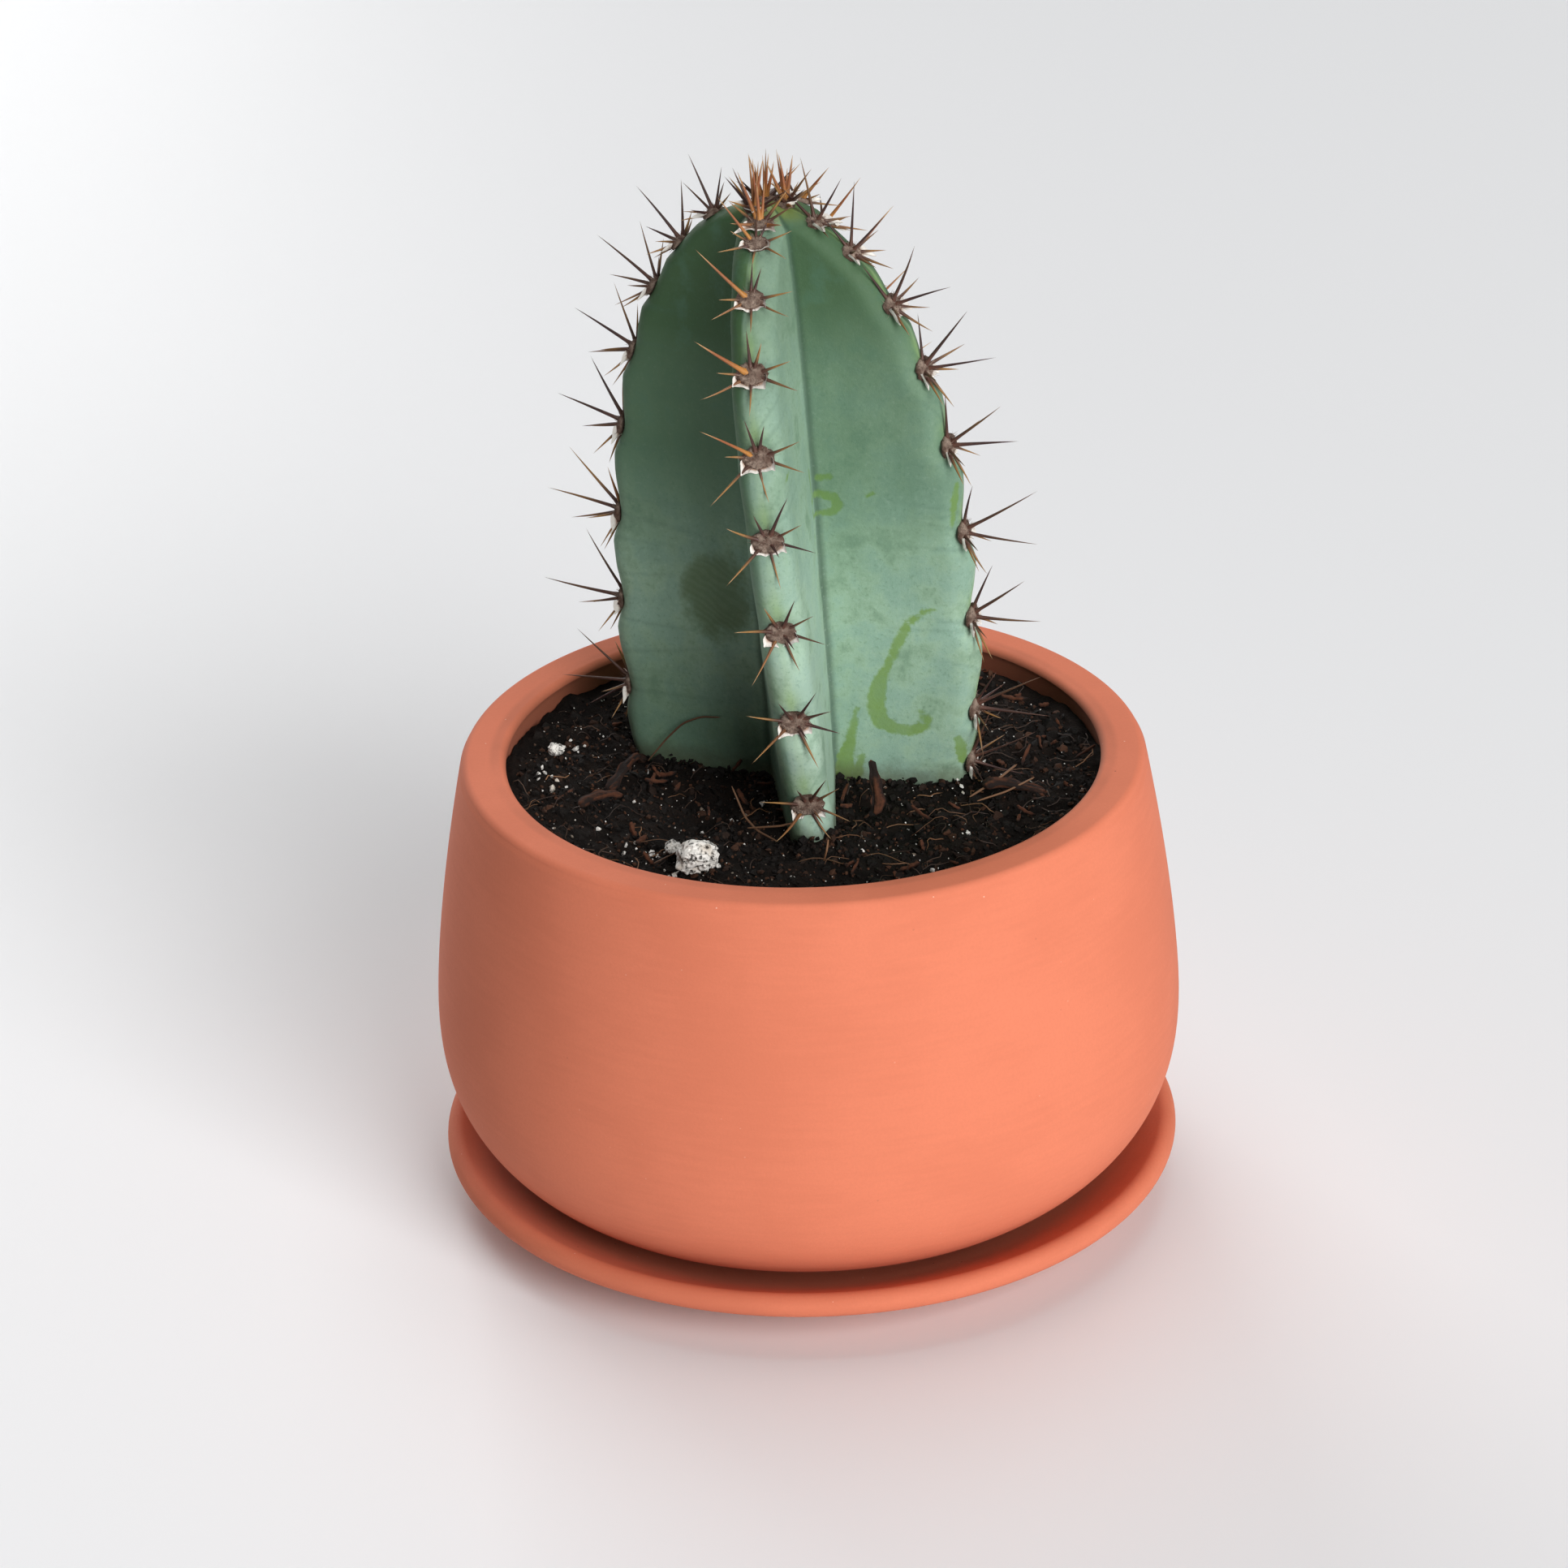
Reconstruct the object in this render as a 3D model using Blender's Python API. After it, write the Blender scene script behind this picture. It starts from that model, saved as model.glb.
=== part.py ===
"""Potted cactus: a short columnar cactus with four ribs, in peat soil, in a
round-bellied terracotta pot that stands on its saucer.

Metres, +Z up. The origin is the centre of the saucer's underside. +X is the
side of the right rib, and -Y is the front.
"""
import math
import random

import bmesh
import bpy
from mathutils import Matrix, Vector

# ---------------------------------------------------------------- sizes
GAP = 0.00035                    # kept between pieces that touch

LIP_RING_RADIUS = 0.0748         # saucer: centre line of the rounded lip
LIP_RADIUS = 0.0024
LIP_HEIGHT = 0.0119
SAUCER_FOOT = 0.051              # flat underside
SAUCER_WELL = 0.050              # flat floor inside
SAUCER_FLOOR = 0.0052            # thickness of the floor

POT_BELLY_RADIUS = 0.0775        # the widest ring
POT_BELLY_HEIGHT = 0.0441
POT_FOOT_RADIUS = 0.040
POT_BASE = SAUCER_FLOOR + GAP
POT_HEIGHT = 0.0992              # top of the rim, above the table
POT_RIM_RADIUS = 0.0700
POT_WALL = 0.0091
POT_FLOOR = POT_BASE + POT_WALL
RIM_ROUNDING = 0.0016
DRAIN_RADIUS = 0.006

SOIL_HEIGHT = 0.0930             # mean level of the soil's surface
SOIL_RELIEF = 0.0006             # height of its gentle waves

STEM_AXIS = (0.0000, 0.0040)     # where the stem's axis crosses z = 0.092
STEM_LEAN = (-0.035, 0.001)      # sideways run of the axis for each metre up
STEM_FOOT_HEIGHT = 0.092
STEM_BOTTOM = 0.0745             # the rounded cut end, buried in the soil
STEM_MIDDLE = 0.130              # height of the widest section
STEM_TOP = 0.2155
STEM_FOOT_DEPTH = 0.075          # from the middle down to where the foot would close
STEM_RADIUS = 0.0389             # axis to crest at the widest section
STEM_FULLNESS = 2.7              # 2 is an ellipse, and more is a blunter dome
STEM_TWIST = math.radians(-126)  # turn of the ribs for each metre up
CREST_RADIUS = 0.0046            # roundness of a rib's crest
CREST_SHARE = 0.42               # most of the reach that the crest's radius takes
FLANK_TAPER = math.radians(4)    # how much a rib thickens towards the axis
FLANK_END = math.radians(120)    # a rib's flank is followed up to this angle
VALLEY_SHARPNESS = 16
CUT_END = 0.009                  # height over which the cut end is rounded
CUT_END_SHARE = 0.8              # how far it has closed at the bottom
NOTCH_DEPTH = 0.0019             # dip in a crest at each areole
NOTCH_ABOVE = 0.0080             # length of the dip's slow upper side
NOTCH_BELOW = 0.0038             # length of its short lower side
NOTCH_FADE = 0.6                 # the dips get shallower on the dome by this power

# azimuth of each rib at the stem's foot, and the heights of its areoles
RIBS = {
    "right": (-10.5, (97.0, 109.4, 130.5, 149.6, 168.5, 184.8, 197.6, 207.7, 212.9)),
    "back": (74.0, (104.0, 124.0, 143.5, 162.0, 178.5, 193.0, 204.5, 212.3)),
    "left": (163.0, (107.5, 126.1, 144.8, 163.7, 179.9, 194.0, 204.0, 211.3)),
    "front": (272.7, (101.7, 120.8, 140.3, 159.2, 175.6, 190.9, 203.4, 211.6)),
}
SECTOR_STEPS = 12                # points from one rib's crest to the next
CREST_CROWDING = 0.115           # how much those points gather at the crests
SEGMENTS = 56                    # points round the pot and the saucer

PAD_WIDTH = 0.0029               # half width and half height of a wool cushion
PAD_HEIGHT = 0.0023
PAD_THICKNESS = 0.0016
PAD_TOP = 0.7                    # its flat top, as a share of its foot
PAD_SIDES = 7
SPINE_LENGTH = 0.0150
SPINE_BASE = 0.0009
SPINE_LIFT = 0.42                # radians off the skin, for the outer spines
SPINE_CLEARANCE = 0.0015         # least height of a spine's tip above the soil
YOUNG_LENGTH_LOSS = 0.45         # on the dome: shorter spines,
YOUNG_LIFT = 0.6                 # more upright ones,
YOUNG_SIZE_LOSS = 0.35           # and smaller cushions

random.seed(7)


# ---------------------------------------------------------------- materials
def material(name, colour, roughness):
    mat = bpy.data.materials.new(name)
    mat.use_nodes = True
    shader = mat.node_tree.nodes["Principled BSDF"]
    shader.inputs["Base Color"].default_value = (*colour, 1.0)
    shader.inputs["Roughness"].default_value = roughness
    shader.inputs["Metallic"].default_value = 0.0
    mat.diffuse_color = (*colour, 1.0)
    return mat


def add_object(name, mesh, mat):
    obj = bpy.data.objects.new(name, mesh)
    bpy.context.scene.collection.objects.link(obj)
    mesh.materials.append(mat)
    return obj


def smooth(mesh, angle=35):
    mesh.shade_smooth()
    mesh.set_sharp_from_angle(angle=math.radians(angle))


# ---------------------------------------------------------------- turned pieces
def arc(centre, radius, start, end, steps):
    """Points on a circle in the (r, z) plane, from start to end in degrees."""
    points = []
    for i in range(steps + 1):
        angle = math.radians(start + (end - start) * i / steps)
        points.append((centre[0] + radius * math.cos(angle), centre[1] + radius * math.sin(angle)))
    return points


def skin(name, rings, bottom=None, top=None):
    """Closed mesh over a stack of rings of equal length, the lowest first and
    each one anticlockwise from above. Without end points the stack is joined
    back to its first ring."""
    bm = bmesh.new()
    loops = [[bm.verts.new(point) for point in ring] for ring in rings]
    pairs = list(zip(loops, loops[1:]))
    if bottom is None:
        pairs.append((loops[-1], loops[0]))
    for low, high in pairs:
        for i in range(len(low)):
            k = (i + 1) % len(low)
            bm.faces.new((low[i], low[k], high[k], high[i]))
    if bottom is not None:
        foot = bm.verts.new(bottom)
        tip = bm.verts.new(top)
        for i in range(len(loops[0])):
            k = (i + 1) % len(loops[0])
            bm.faces.new((loops[0][k], loops[0][i], foot))
            bm.faces.new((loops[-1][i], loops[-1][k], tip))
    mesh = bpy.data.meshes.new(name)
    bm.to_mesh(mesh)
    bm.free()
    return mesh


def circle(radius, height):
    turns = (2 * math.pi * i / SEGMENTS for i in range(SEGMENTS))
    return [(radius * math.cos(a), radius * math.sin(a), height) for a in turns]


def turned(name, profile, bottom=None, top=None):
    """A profile of (r, z) points turned round the Z axis."""
    return skin(name, [circle(r, z) for r, z in profile], bottom, top)


# ---------------------------------------------------------------- saucer
def saucer_mesh():
    """Flat foot, wall that sweeps up to a round lip, and a dished inside."""
    lip = (LIP_RING_RADIUS, LIP_HEIGHT)
    rim = arc(lip, LIP_RADIUS, -62, 118, 6)
    under = []
    inside = []
    for i in range(5):
        u = i / 5
        radius = SAUCER_FOOT + (rim[0][0] - SAUCER_FOOT) * u
        under.append((radius, rim[0][1] * u ** 1.3))
        radius = SAUCER_WELL + (rim[-1][0] - SAUCER_WELL) * u
        inside.append((radius, SAUCER_FLOOR + (rim[-1][1] - SAUCER_FLOOR) * u ** 1.5))
    profile = under + rim + inside[::-1]
    return turned("saucer", profile, bottom=(0, 0, 0), top=(0, 0, SAUCER_FLOOR))


# ---------------------------------------------------------------- pot
def pot_radius(height):
    """Outside radius: a full, rounded underside below the belly, and above it
    a wall that leans slowly in to the rim."""
    if height >= POT_BELLY_HEIGHT:
        u = (height - POT_BELLY_HEIGHT) / (POT_HEIGHT - POT_BELLY_HEIGHT)
        return POT_BELLY_RADIUS - (POT_BELLY_RADIUS - POT_RIM_RADIUS) * u ** 1.5
    u = (POT_BELLY_HEIGHT - height) / (POT_BELLY_HEIGHT - POT_BASE)
    return POT_FOOT_RADIUS + (POT_BELLY_RADIUS - POT_FOOT_RADIUS) * math.sqrt(1 - min(u, 1) ** 2.5)


def bore_radius(height):
    """Inside radius of the pot: the outside form, one wall thickness in."""
    if height >= POT_BELLY_HEIGHT:
        return pot_radius(height) - POT_WALL
    u = (POT_BELLY_HEIGHT - height) / (POT_BELLY_HEIGHT - POT_FLOOR)
    foot = POT_FOOT_RADIUS - POT_WALL
    bulge = POT_BELLY_RADIUS - POT_WALL - foot
    return foot + bulge * math.sqrt(1 - min(u, 1) ** 2.5)


def bore_levels(top):
    """Section heights of the pot's inside and of the soil that fills it."""
    levels = [POT_FLOOR + (POT_BELLY_HEIGHT - POT_FLOOR) * u for u in (0, 0.06, 0.25, 0.55, 1.0)]
    neck = POT_HEIGHT - POT_BELLY_HEIGHT
    levels += [POT_BELLY_HEIGHT + neck * u for u in (0.35, 0.70, 0.965)]
    return [level for level in levels if level < top]


def pot_mesh():
    outside = [(POT_FOOT_RADIUS, POT_BASE)]
    for u in (0.02, 0.08, 0.18, 0.32, 0.50, 0.72, 1.0):
        height = POT_BASE + (POT_BELLY_HEIGHT - POT_BASE) * u
        outside.append((pot_radius(height), height))
    for u in (0.35, 0.70, 0.965):
        height = POT_BELLY_HEIGHT + (POT_HEIGHT - POT_BELLY_HEIGHT) * u
        outside.append((pot_radius(height), height))
    inside = [(bore_radius(height), height) for height in bore_levels(POT_HEIGHT)]
    mouth = POT_RIM_RADIUS - POT_WALL
    top = POT_HEIGHT - RIM_ROUNDING
    rim = arc((POT_RIM_RADIUS - RIM_ROUNDING, top), RIM_ROUNDING, 10, 90, 3)
    rim += arc((mouth + RIM_ROUNDING, top), RIM_ROUNDING, 90, 170, 3)
    profile = [(DRAIN_RADIUS, POT_FLOOR), (DRAIN_RADIUS, POT_BASE)]
    profile += outside + rim + inside[::-1]
    return turned("terracotta_pot", profile)


# ---------------------------------------------------------------- stem
def axis_point(height):
    rise = height - STEM_FOOT_HEIGHT
    return STEM_AXIS[0] + STEM_LEAN[0] * rise, STEM_AXIS[1] + STEM_LEAN[1] * rise


def rib_azimuth(rib, height):
    return math.radians(RIBS[rib][0]) + STEM_TWIST * (height - STEM_FOOT_HEIGHT)


def crest_reach(height):
    """Distance from the axis to an unnotched crest: a full, blunt oval, closed
    below by the rounded cut end."""
    half = STEM_TOP - STEM_MIDDLE if height > STEM_MIDDLE else STEM_FOOT_DEPTH
    u = abs(height - STEM_MIDDLE) / half
    reach = STEM_RADIUS * math.sqrt(max(0.0, 1 - u ** STEM_FULLNESS))
    if height < STEM_BOTTOM + CUT_END:
        u = (STEM_BOTTOM + CUT_END - height) / CUT_END
        reach *= math.sqrt(max(0.0, 1 - CUT_END_SHARE * u * u))
    return reach


def dip(rise):
    """Share of a notch's depth at a height above its areole: the dip is short
    below the areole and runs out slowly above it."""
    length = NOTCH_ABOVE if rise > 0 else NOTCH_BELOW
    return math.exp(-((rise / length) ** 2))


def notch(rib, height):
    """The dip in a crest at each of its areoles, shallower on the dome."""
    share = max(dip(height - level / 1000) for level in RIBS[rib][1])
    return share * NOTCH_DEPTH * (crest_reach(height) / STEM_RADIUS) ** NOTCH_FADE


def rib_profile(reach, angle, swell=0.0):
    """Polar radius of one rib at an angle from its crest line. The rib is a
    slab with a round crest, and its flanks part by FLANK_TAPER."""
    round_ = min(CREST_RADIUS, CREST_SHARE * reach) + swell
    centre = reach - round_ + swell
    angle = abs(angle)
    edge = math.atan2(round_ * math.cos(FLANK_TAPER), centre + round_ * math.sin(FLANK_TAPER))
    if angle <= edge:
        across = centre * math.sin(angle)
        return centre * math.cos(angle) + math.sqrt(max(0.0, round_ ** 2 - across ** 2))
    if angle >= FLANK_END:
        return 0.0
    return (round_ + centre * math.sin(FLANK_TAPER)) / math.sin(angle + FLANK_TAPER)


def stem_ring(height, swell=0.0, shrink=1.0):
    """One section of the stem: the ribs' polar profiles, joined smoothly.
    swell moves the surface outwards, for the hollow it stands in."""
    names = list(RIBS)
    azimuths = [rib_azimuth(name, height) for name in names]
    reaches = [crest_reach(height) - notch(name, height) for name in names]
    centre = axis_point(height)
    ring = []
    for i, start in enumerate(azimuths):
        sector = (azimuths[(i + 1) % len(azimuths)] - start) % (2 * math.pi)
        for step in range(SECTOR_STEPS):
            t = step / SECTOR_STEPS
            theta = start + sector * (t - CREST_CROWDING * math.sin(2 * math.pi * t))
            total = 0.0
            for azimuth, reach in zip(azimuths, reaches):
                off = (theta - azimuth + math.pi) % (2 * math.pi) - math.pi
                total += rib_profile(reach, off, swell) ** VALLEY_SHARPNESS
            radius = shrink * total ** (1 / VALLEY_SHARPNESS)
            ring.append((centre[0] + radius * math.cos(theta), centre[1] + radius * math.sin(theta), height))
    return ring


BURIED_LEVELS = (0.0, 0.0022, 0.0060, 0.0110)   # above STEM_BOTTOM
MOUTH_DEPTH = 0.0005             # the hollow's mouth, below the mean soil level
STEM_POINT = 0.0005              # the cut end's middle, below its lowest section
DOME_START = 0.190
BODY_SECTIONS = 42
DOME_SECTIONS = 10


def stem_levels():
    """Section heights: buried ones, even steps up the body, then closer
    ones over the dome."""
    levels = [STEM_BOTTOM + rise for rise in BURIED_LEVELS]
    start = SOIL_HEIGHT - MOUTH_DEPTH
    for i in range(BODY_SECTIONS + 1):
        levels.append(start + (DOME_START - start) * i / BODY_SECTIONS)
    for i in range(1, DOME_SECTIONS):
        u = i / DOME_SECTIONS
        levels.append(DOME_START + (STEM_TOP - DOME_START) * (1 - (1 - u) ** 2))
    return levels


def stem_mesh():
    rings = [stem_ring(height) for height in stem_levels()]
    bottom = (*axis_point(STEM_BOTTOM), STEM_BOTTOM - STEM_POINT)
    return skin("cactus_stem", rings, bottom=bottom, top=(*axis_point(STEM_TOP), STEM_TOP))


# ---------------------------------------------------------------- soil
SOIL_WAVES = (210, 170)          # radians for each metre along X and Y
WALL_DROP = 0.005                # the plug's last wall section, below its surface
SURFACE_BANDS = (0.30, 0.65)     # shares of the way from the wall to the stem
MOUTH_LIFT = 0.0002


def soil_surface(x, y):
    """Gentle waves, about a coarse clod long, that rise a little at the wall."""
    waves = math.sin(x * SOIL_WAVES[0] + 0.6) * math.cos(y * SOIL_WAVES[1] - 0.4)
    edge = (math.hypot(x, y) / POT_RIM_RADIUS) ** 4
    return SOIL_HEIGHT + SOIL_RELIEF * (waves + edge)


def wall_ring(mouth, radius, height):
    """Points on a circle round the pot's axis, each one straight out from the
    stem's axis past a point of the hollow's mouth."""
    cx, cy = axis_point(SOIL_HEIGHT)
    ring = []
    for x, y, _ in mouth:
        away = Vector((x - cx, y - cy)).normalized()
        along = cx * away.x + cy * away.y
        reach = -along + math.sqrt(along ** 2 + radius ** 2 - cx ** 2 - cy ** 2)
        ring.append((cx + away.x * reach, cy + away.y * reach, height))
    return ring


def soil_mesh():
    """A plug that fills the pot, with a hollow that fits the stem's foot."""
    hollow = []
    for rise in BURIED_LEVELS:
        section = stem_ring(STEM_BOTTOM + rise, swell=2 * GAP)
        hollow.append([(x, y, z - GAP) for x, y, z in section])
    mouth = stem_ring(SOIL_HEIGHT - MOUTH_DEPTH, swell=GAP)
    rings = []
    for height in bore_levels(SOIL_HEIGHT - WALL_DROP):
        rings.append(wall_ring(mouth, bore_radius(height) - GAP, height + GAP))
    rings.append(wall_ring(mouth, bore_radius(SOIL_HEIGHT) - GAP, SOIL_HEIGHT))
    rim = rings[-1]
    rings[-1] = [(x, y, soil_surface(x, y)) for x, y, _ in rim]
    for t in SURFACE_BANDS:
        band = []
        for (x, y, _), (u, v, _) in zip(rim, mouth):
            px = x + (u - x) * t
            py = y + (v - y) * t
            band.append((px, py, soil_surface(px, py)))
        rings.append(band)
    rings.append([(x, y, z + MOUTH_LIFT) for x, y, z in mouth])
    rings += hollow[::-1]
    lowest = STEM_BOTTOM - STEM_POINT - GAP
    centre = axis_point(STEM_BOTTOM)
    return skin("potting_soil", rings, bottom=(0, 0, POT_FLOOR + GAP), top=(*centre, lowest))


# ---------------------------------------------------------------- areoles
def crest_frame(rib, height):
    """Point on a notched crest, with its outward, upward and side directions."""
    step = 0.0005

    def point(level):
        reach = crest_reach(level) - notch(rib, height)
        azimuth = rib_azimuth(rib, level)
        x, y = axis_point(level)
        return Vector((x + reach * math.cos(azimuth), y + reach * math.sin(azimuth), level))

    up = (point(height + step) - point(height - step)).normalized()
    azimuth = rib_azimuth(rib, height)
    side = Vector((-math.sin(azimuth), math.cos(azimuth), 0))
    out = side.cross(up).normalized()
    side = up.cross(out)
    return point(height), out, up, side


def spine(bm, face, tip, base):
    """Draws one face of the cushion out into a slender pyramid."""
    centre = face.calc_center_median()
    bmesh.ops.inset_individual(bm, faces=[face], thickness=0.0001)
    for vert in face.verts:
        vert.co = centre + (vert.co - centre).normalized() * base / 2
    top = bmesh.ops.poke(bm, faces=[face])["verts"][0]
    top.co = tip


def areole_mesh(name, frame, length, lift, central, size=1.0):
    """A wool cushion with a ring of spines from its sides and, where central
    is more than 0, a long one from its top."""
    point, out, up, side = frame
    bm = bmesh.new()
    origin = point + out * (2 * GAP)

    def place(across, along, height):
        return origin + side * across + up * along + out * height

    def saddle(along):
        return NOTCH_DEPTH * (1 - dip(along))

    foot = []
    crown = []
    for i in range(PAD_SIDES):
        angle = math.pi / 2 + 2 * math.pi * (i + 0.5) / PAD_SIDES
        c, s = math.cos(angle), math.sin(angle)
        rise = saddle(PAD_HEIGHT * s)
        across = size * PAD_WIDTH * c
        along = size * PAD_HEIGHT * s
        foot.append(bm.verts.new(place(across, along, rise)))
        crown.append(bm.verts.new(place(PAD_TOP * across, PAD_TOP * along, PAD_THICKNESS + rise / 2)))
    middle = bm.verts.new(origin)
    for i in range(PAD_SIDES):
        bm.faces.new((foot[(i + 1) % PAD_SIDES], foot[i], middle))
    sides = []
    for i in range(PAD_SIDES):
        k = (i + 1) % PAD_SIDES
        sides.append(bm.faces.new((foot[i], foot[k], crown[k], crown[i])))
    cap = bm.faces.new(crown)
    for i, face in enumerate(sides):
        angle = math.pi / 2 + 2 * math.pi * (i + 1) / PAD_SIDES + random.uniform(-0.15, 0.15)
        reach = length * random.uniform(0.55, 0.85)
        rise = lift + random.uniform(-0.05, 0.12)
        flat = reach * math.cos(rise)
        tip = place(flat * math.cos(angle), flat * math.sin(angle), reach * math.sin(rise))
        tip.z = max(tip.z, SOIL_HEIGHT + SPINE_CLEARANCE)
        spine(bm, face, tip, SPINE_BASE)
    if central > 0:
        tilt = random.uniform(0.15, 0.5)
        sway = random.uniform(-0.25, 0.25)
        tip = place(central * math.sin(sway), central * math.sin(tilt), central * math.cos(tilt))
        spine(bm, cap, tip, SPINE_BASE * 1.2)
    mesh = bpy.data.meshes.new(name)
    bm.to_mesh(mesh)
    bm.free()
    return mesh


def add_areoles(mat):
    for rib, (_, levels) in RIBS.items():
        for number, level in enumerate(levels, start=1):
            name = f"areole_{rib}_{number}"
            height = level / 1000
            young = max(0.0, (height - DOME_START) / (STEM_TOP - DOME_START))
            length = SPINE_LENGTH * (1 - YOUNG_LENGTH_LOSS * young)
            lift = SPINE_LIFT + YOUNG_LIFT * young
            size = 1 - YOUNG_SIZE_LOSS * young
            mesh = areole_mesh(name, crest_frame(rib, height), length, lift, length, size)
            add_object(name, mesh, mat)


TUFT_AZIMUTHS = (15, 110, 210)
TUFT_RADIUS = 0.0035             # from the stem's axis to a tuft's middle
TUFT_LENGTH = 0.0100             # of the outer spines; the middle one is longer
TUFT_MIDDLE_LENGTH = 0.0110
TUFT_LIFT = 1.2
TUFT_SIZE = 0.60


def add_crown_tufts(mat):
    """The youngest areoles, upright round the growing tip."""
    x, y = axis_point(STEM_TOP)
    for number, azimuth in enumerate(TUFT_AZIMUTHS, start=1):
        name = f"crown_tuft_{number}"
        a = math.radians(azimuth)
        away = Vector((math.cos(a), math.sin(a), 0))
        point = Vector((x, y, STEM_TOP + GAP)) + away * TUFT_RADIUS
        out = Vector((0, 0, 1))
        side = Vector((-away.y, away.x, 0))
        frame = (point, out, out.cross(side), side)
        mesh = areole_mesh(name, frame, TUFT_LENGTH, TUFT_LIFT, TUFT_MIDDLE_LENGTH, TUFT_SIZE)
        add_object(name, mesh, mat)


# ---------------------------------------------------------------- loose pieces
def lump(name, size, place, turn, roughness):
    """A rough lump: a small icosphere, dented and stretched."""
    bm = bmesh.new()
    bmesh.ops.create_icosphere(bm, subdivisions=1, radius=0.5)
    for vert in bm.verts:
        vert.co *= 1 + random.uniform(-roughness, roughness)
    bmesh.ops.scale(bm, vec=size, verts=bm.verts)
    bmesh.ops.rotate(bm, cent=(0, 0, 0), matrix=Matrix.Rotation(turn, 3, "Z"), verts=bm.verts)
    lowest = min(vert.co.z for vert in bm.verts)
    bmesh.ops.translate(bm, vec=(place[0], place[1], place[2] - lowest), verts=bm.verts)
    mesh = bpy.data.meshes.new(name)
    bm.to_mesh(mesh)
    bm.free()
    return mesh


def slab(name, size, place, turn, tilt):
    """A split chip: a tapered box, tilted and turned."""
    bm = bmesh.new()
    bmesh.ops.create_cube(bm, size=1.0)
    for vert in bm.verts:
        if vert.co.x > 0:
            vert.co.y *= 0.55
    bmesh.ops.scale(bm, vec=size, verts=bm.verts)
    turned_ = Matrix.Rotation(turn, 3, "Z") @ Matrix.Rotation(tilt, 3, "Y")
    bmesh.ops.rotate(bm, cent=(0, 0, 0), matrix=turned_, verts=bm.verts)
    lowest = min(vert.co.z for vert in bm.verts)
    bmesh.ops.translate(bm, vec=(place[0], place[1], place[2] - lowest), verts=bm.verts)
    mesh = bpy.data.meshes.new(name)
    bm.to_mesh(mesh)
    bm.free()
    return mesh


REST = SOIL_HEIGHT + 2 * SOIL_RELIEF + GAP       # clear of the highest wave

PERLITE = {                                      # size, place in X and Y, turn
    "perlite_lump": ((0.0105, 0.0085, 0.0070), (-0.0215, -0.0455), 0.3),
    "perlite_small_1": ((0.0045, 0.0040, 0.0032), (-0.0265, -0.0375), 1.1),
    "perlite_small_2": ((0.0040, 0.0034, 0.0030), (-0.0510, 0.0080), 0.4),
}
BARK = {                                         # size, place, turn, tilt
    "bark_chip_1": ((0.0100, 0.0030, 0.0012), (0.0143, -0.0185), 1.5, -1.1),
    "bark_chip_2": ((0.0125, 0.0032, 0.0016), (-0.0370, -0.0020), 0.9, -0.1),
    "bark_chip_3": ((0.0105, 0.0030, 0.0015), (-0.0415, -0.0120), 0.5, 0.1),
    "bark_chip_4": ((0.0140, 0.0040, 0.0018), (0.0430, -0.0130), 0.1, 0.08),
}


def add_loose_pieces(white, brown):
    for name, (size, (x, y), turn) in PERLITE.items():
        add_object(name, lump(name, size, (x, y, REST), turn, 0.10), white)
    for name, (size, (x, y), turn, tilt) in BARK.items():
        add_object(name, slab(name, size, (x, y, REST), turn, tilt), brown)


# ---------------------------------------------------------------- assembly
for old in list(bpy.data.objects):
    bpy.data.objects.remove(old)

clay = material("clay", (0.60, 0.23, 0.13), 0.85)
saucer_clay = material("saucer_clay", (0.58, 0.21, 0.12), 0.85)
peat = material("peat", (0.025, 0.017, 0.013), 0.95)
skin_green = material("stem_skin", (0.12, 0.24, 0.17), 0.55)
spines = material("spines_and_wool", (0.16, 0.09, 0.06), 0.7)
perlite = material("perlite", (0.75, 0.73, 0.69), 0.9)
bark = material("bark", (0.20, 0.09, 0.05), 0.9)

for name, mesh, mat in (
    ("saucer", saucer_mesh(), saucer_clay),
    ("terracotta_pot", pot_mesh(), clay),
    ("potting_soil", soil_mesh(), peat),
    ("cactus_stem", stem_mesh(), skin_green),
):
    smooth(mesh)
    add_object(name, mesh, mat)
add_areoles(spines)
add_crown_tufts(spines)
add_loose_pieces(perlite, bark)
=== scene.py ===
"""A potted cactus: saucer, terracotta pot, peat soil, the ribbed stem with its
spine clusters, and the loose bits that lie on the soil."""

import bpy
import numpy as np
from mathutils import Matrix, Vector


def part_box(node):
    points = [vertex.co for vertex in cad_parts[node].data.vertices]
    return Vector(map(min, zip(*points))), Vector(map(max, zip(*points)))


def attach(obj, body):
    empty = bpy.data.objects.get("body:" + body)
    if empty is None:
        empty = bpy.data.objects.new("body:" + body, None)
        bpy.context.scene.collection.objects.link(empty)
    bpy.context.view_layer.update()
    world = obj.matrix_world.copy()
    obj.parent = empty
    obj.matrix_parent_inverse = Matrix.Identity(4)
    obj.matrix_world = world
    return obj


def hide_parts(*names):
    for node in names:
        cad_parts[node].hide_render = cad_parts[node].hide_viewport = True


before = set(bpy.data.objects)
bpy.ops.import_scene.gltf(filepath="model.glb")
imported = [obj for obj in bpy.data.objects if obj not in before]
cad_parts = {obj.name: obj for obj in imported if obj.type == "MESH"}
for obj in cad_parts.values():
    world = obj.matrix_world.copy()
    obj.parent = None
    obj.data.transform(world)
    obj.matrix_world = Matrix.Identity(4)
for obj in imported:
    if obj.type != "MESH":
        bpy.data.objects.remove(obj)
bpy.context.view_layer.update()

# ================================================================ saucer
# Shallow dish of fired terracotta under the pot. Pressed in one piece, with a
# flat foot, a wall that sweeps up to a thick rounded lip, and a dished inside.
# Matt and unglazed, with a few pale grains and pinholes in the clay.
GAP = 0.00035                    # kept between pieces that touch
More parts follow.
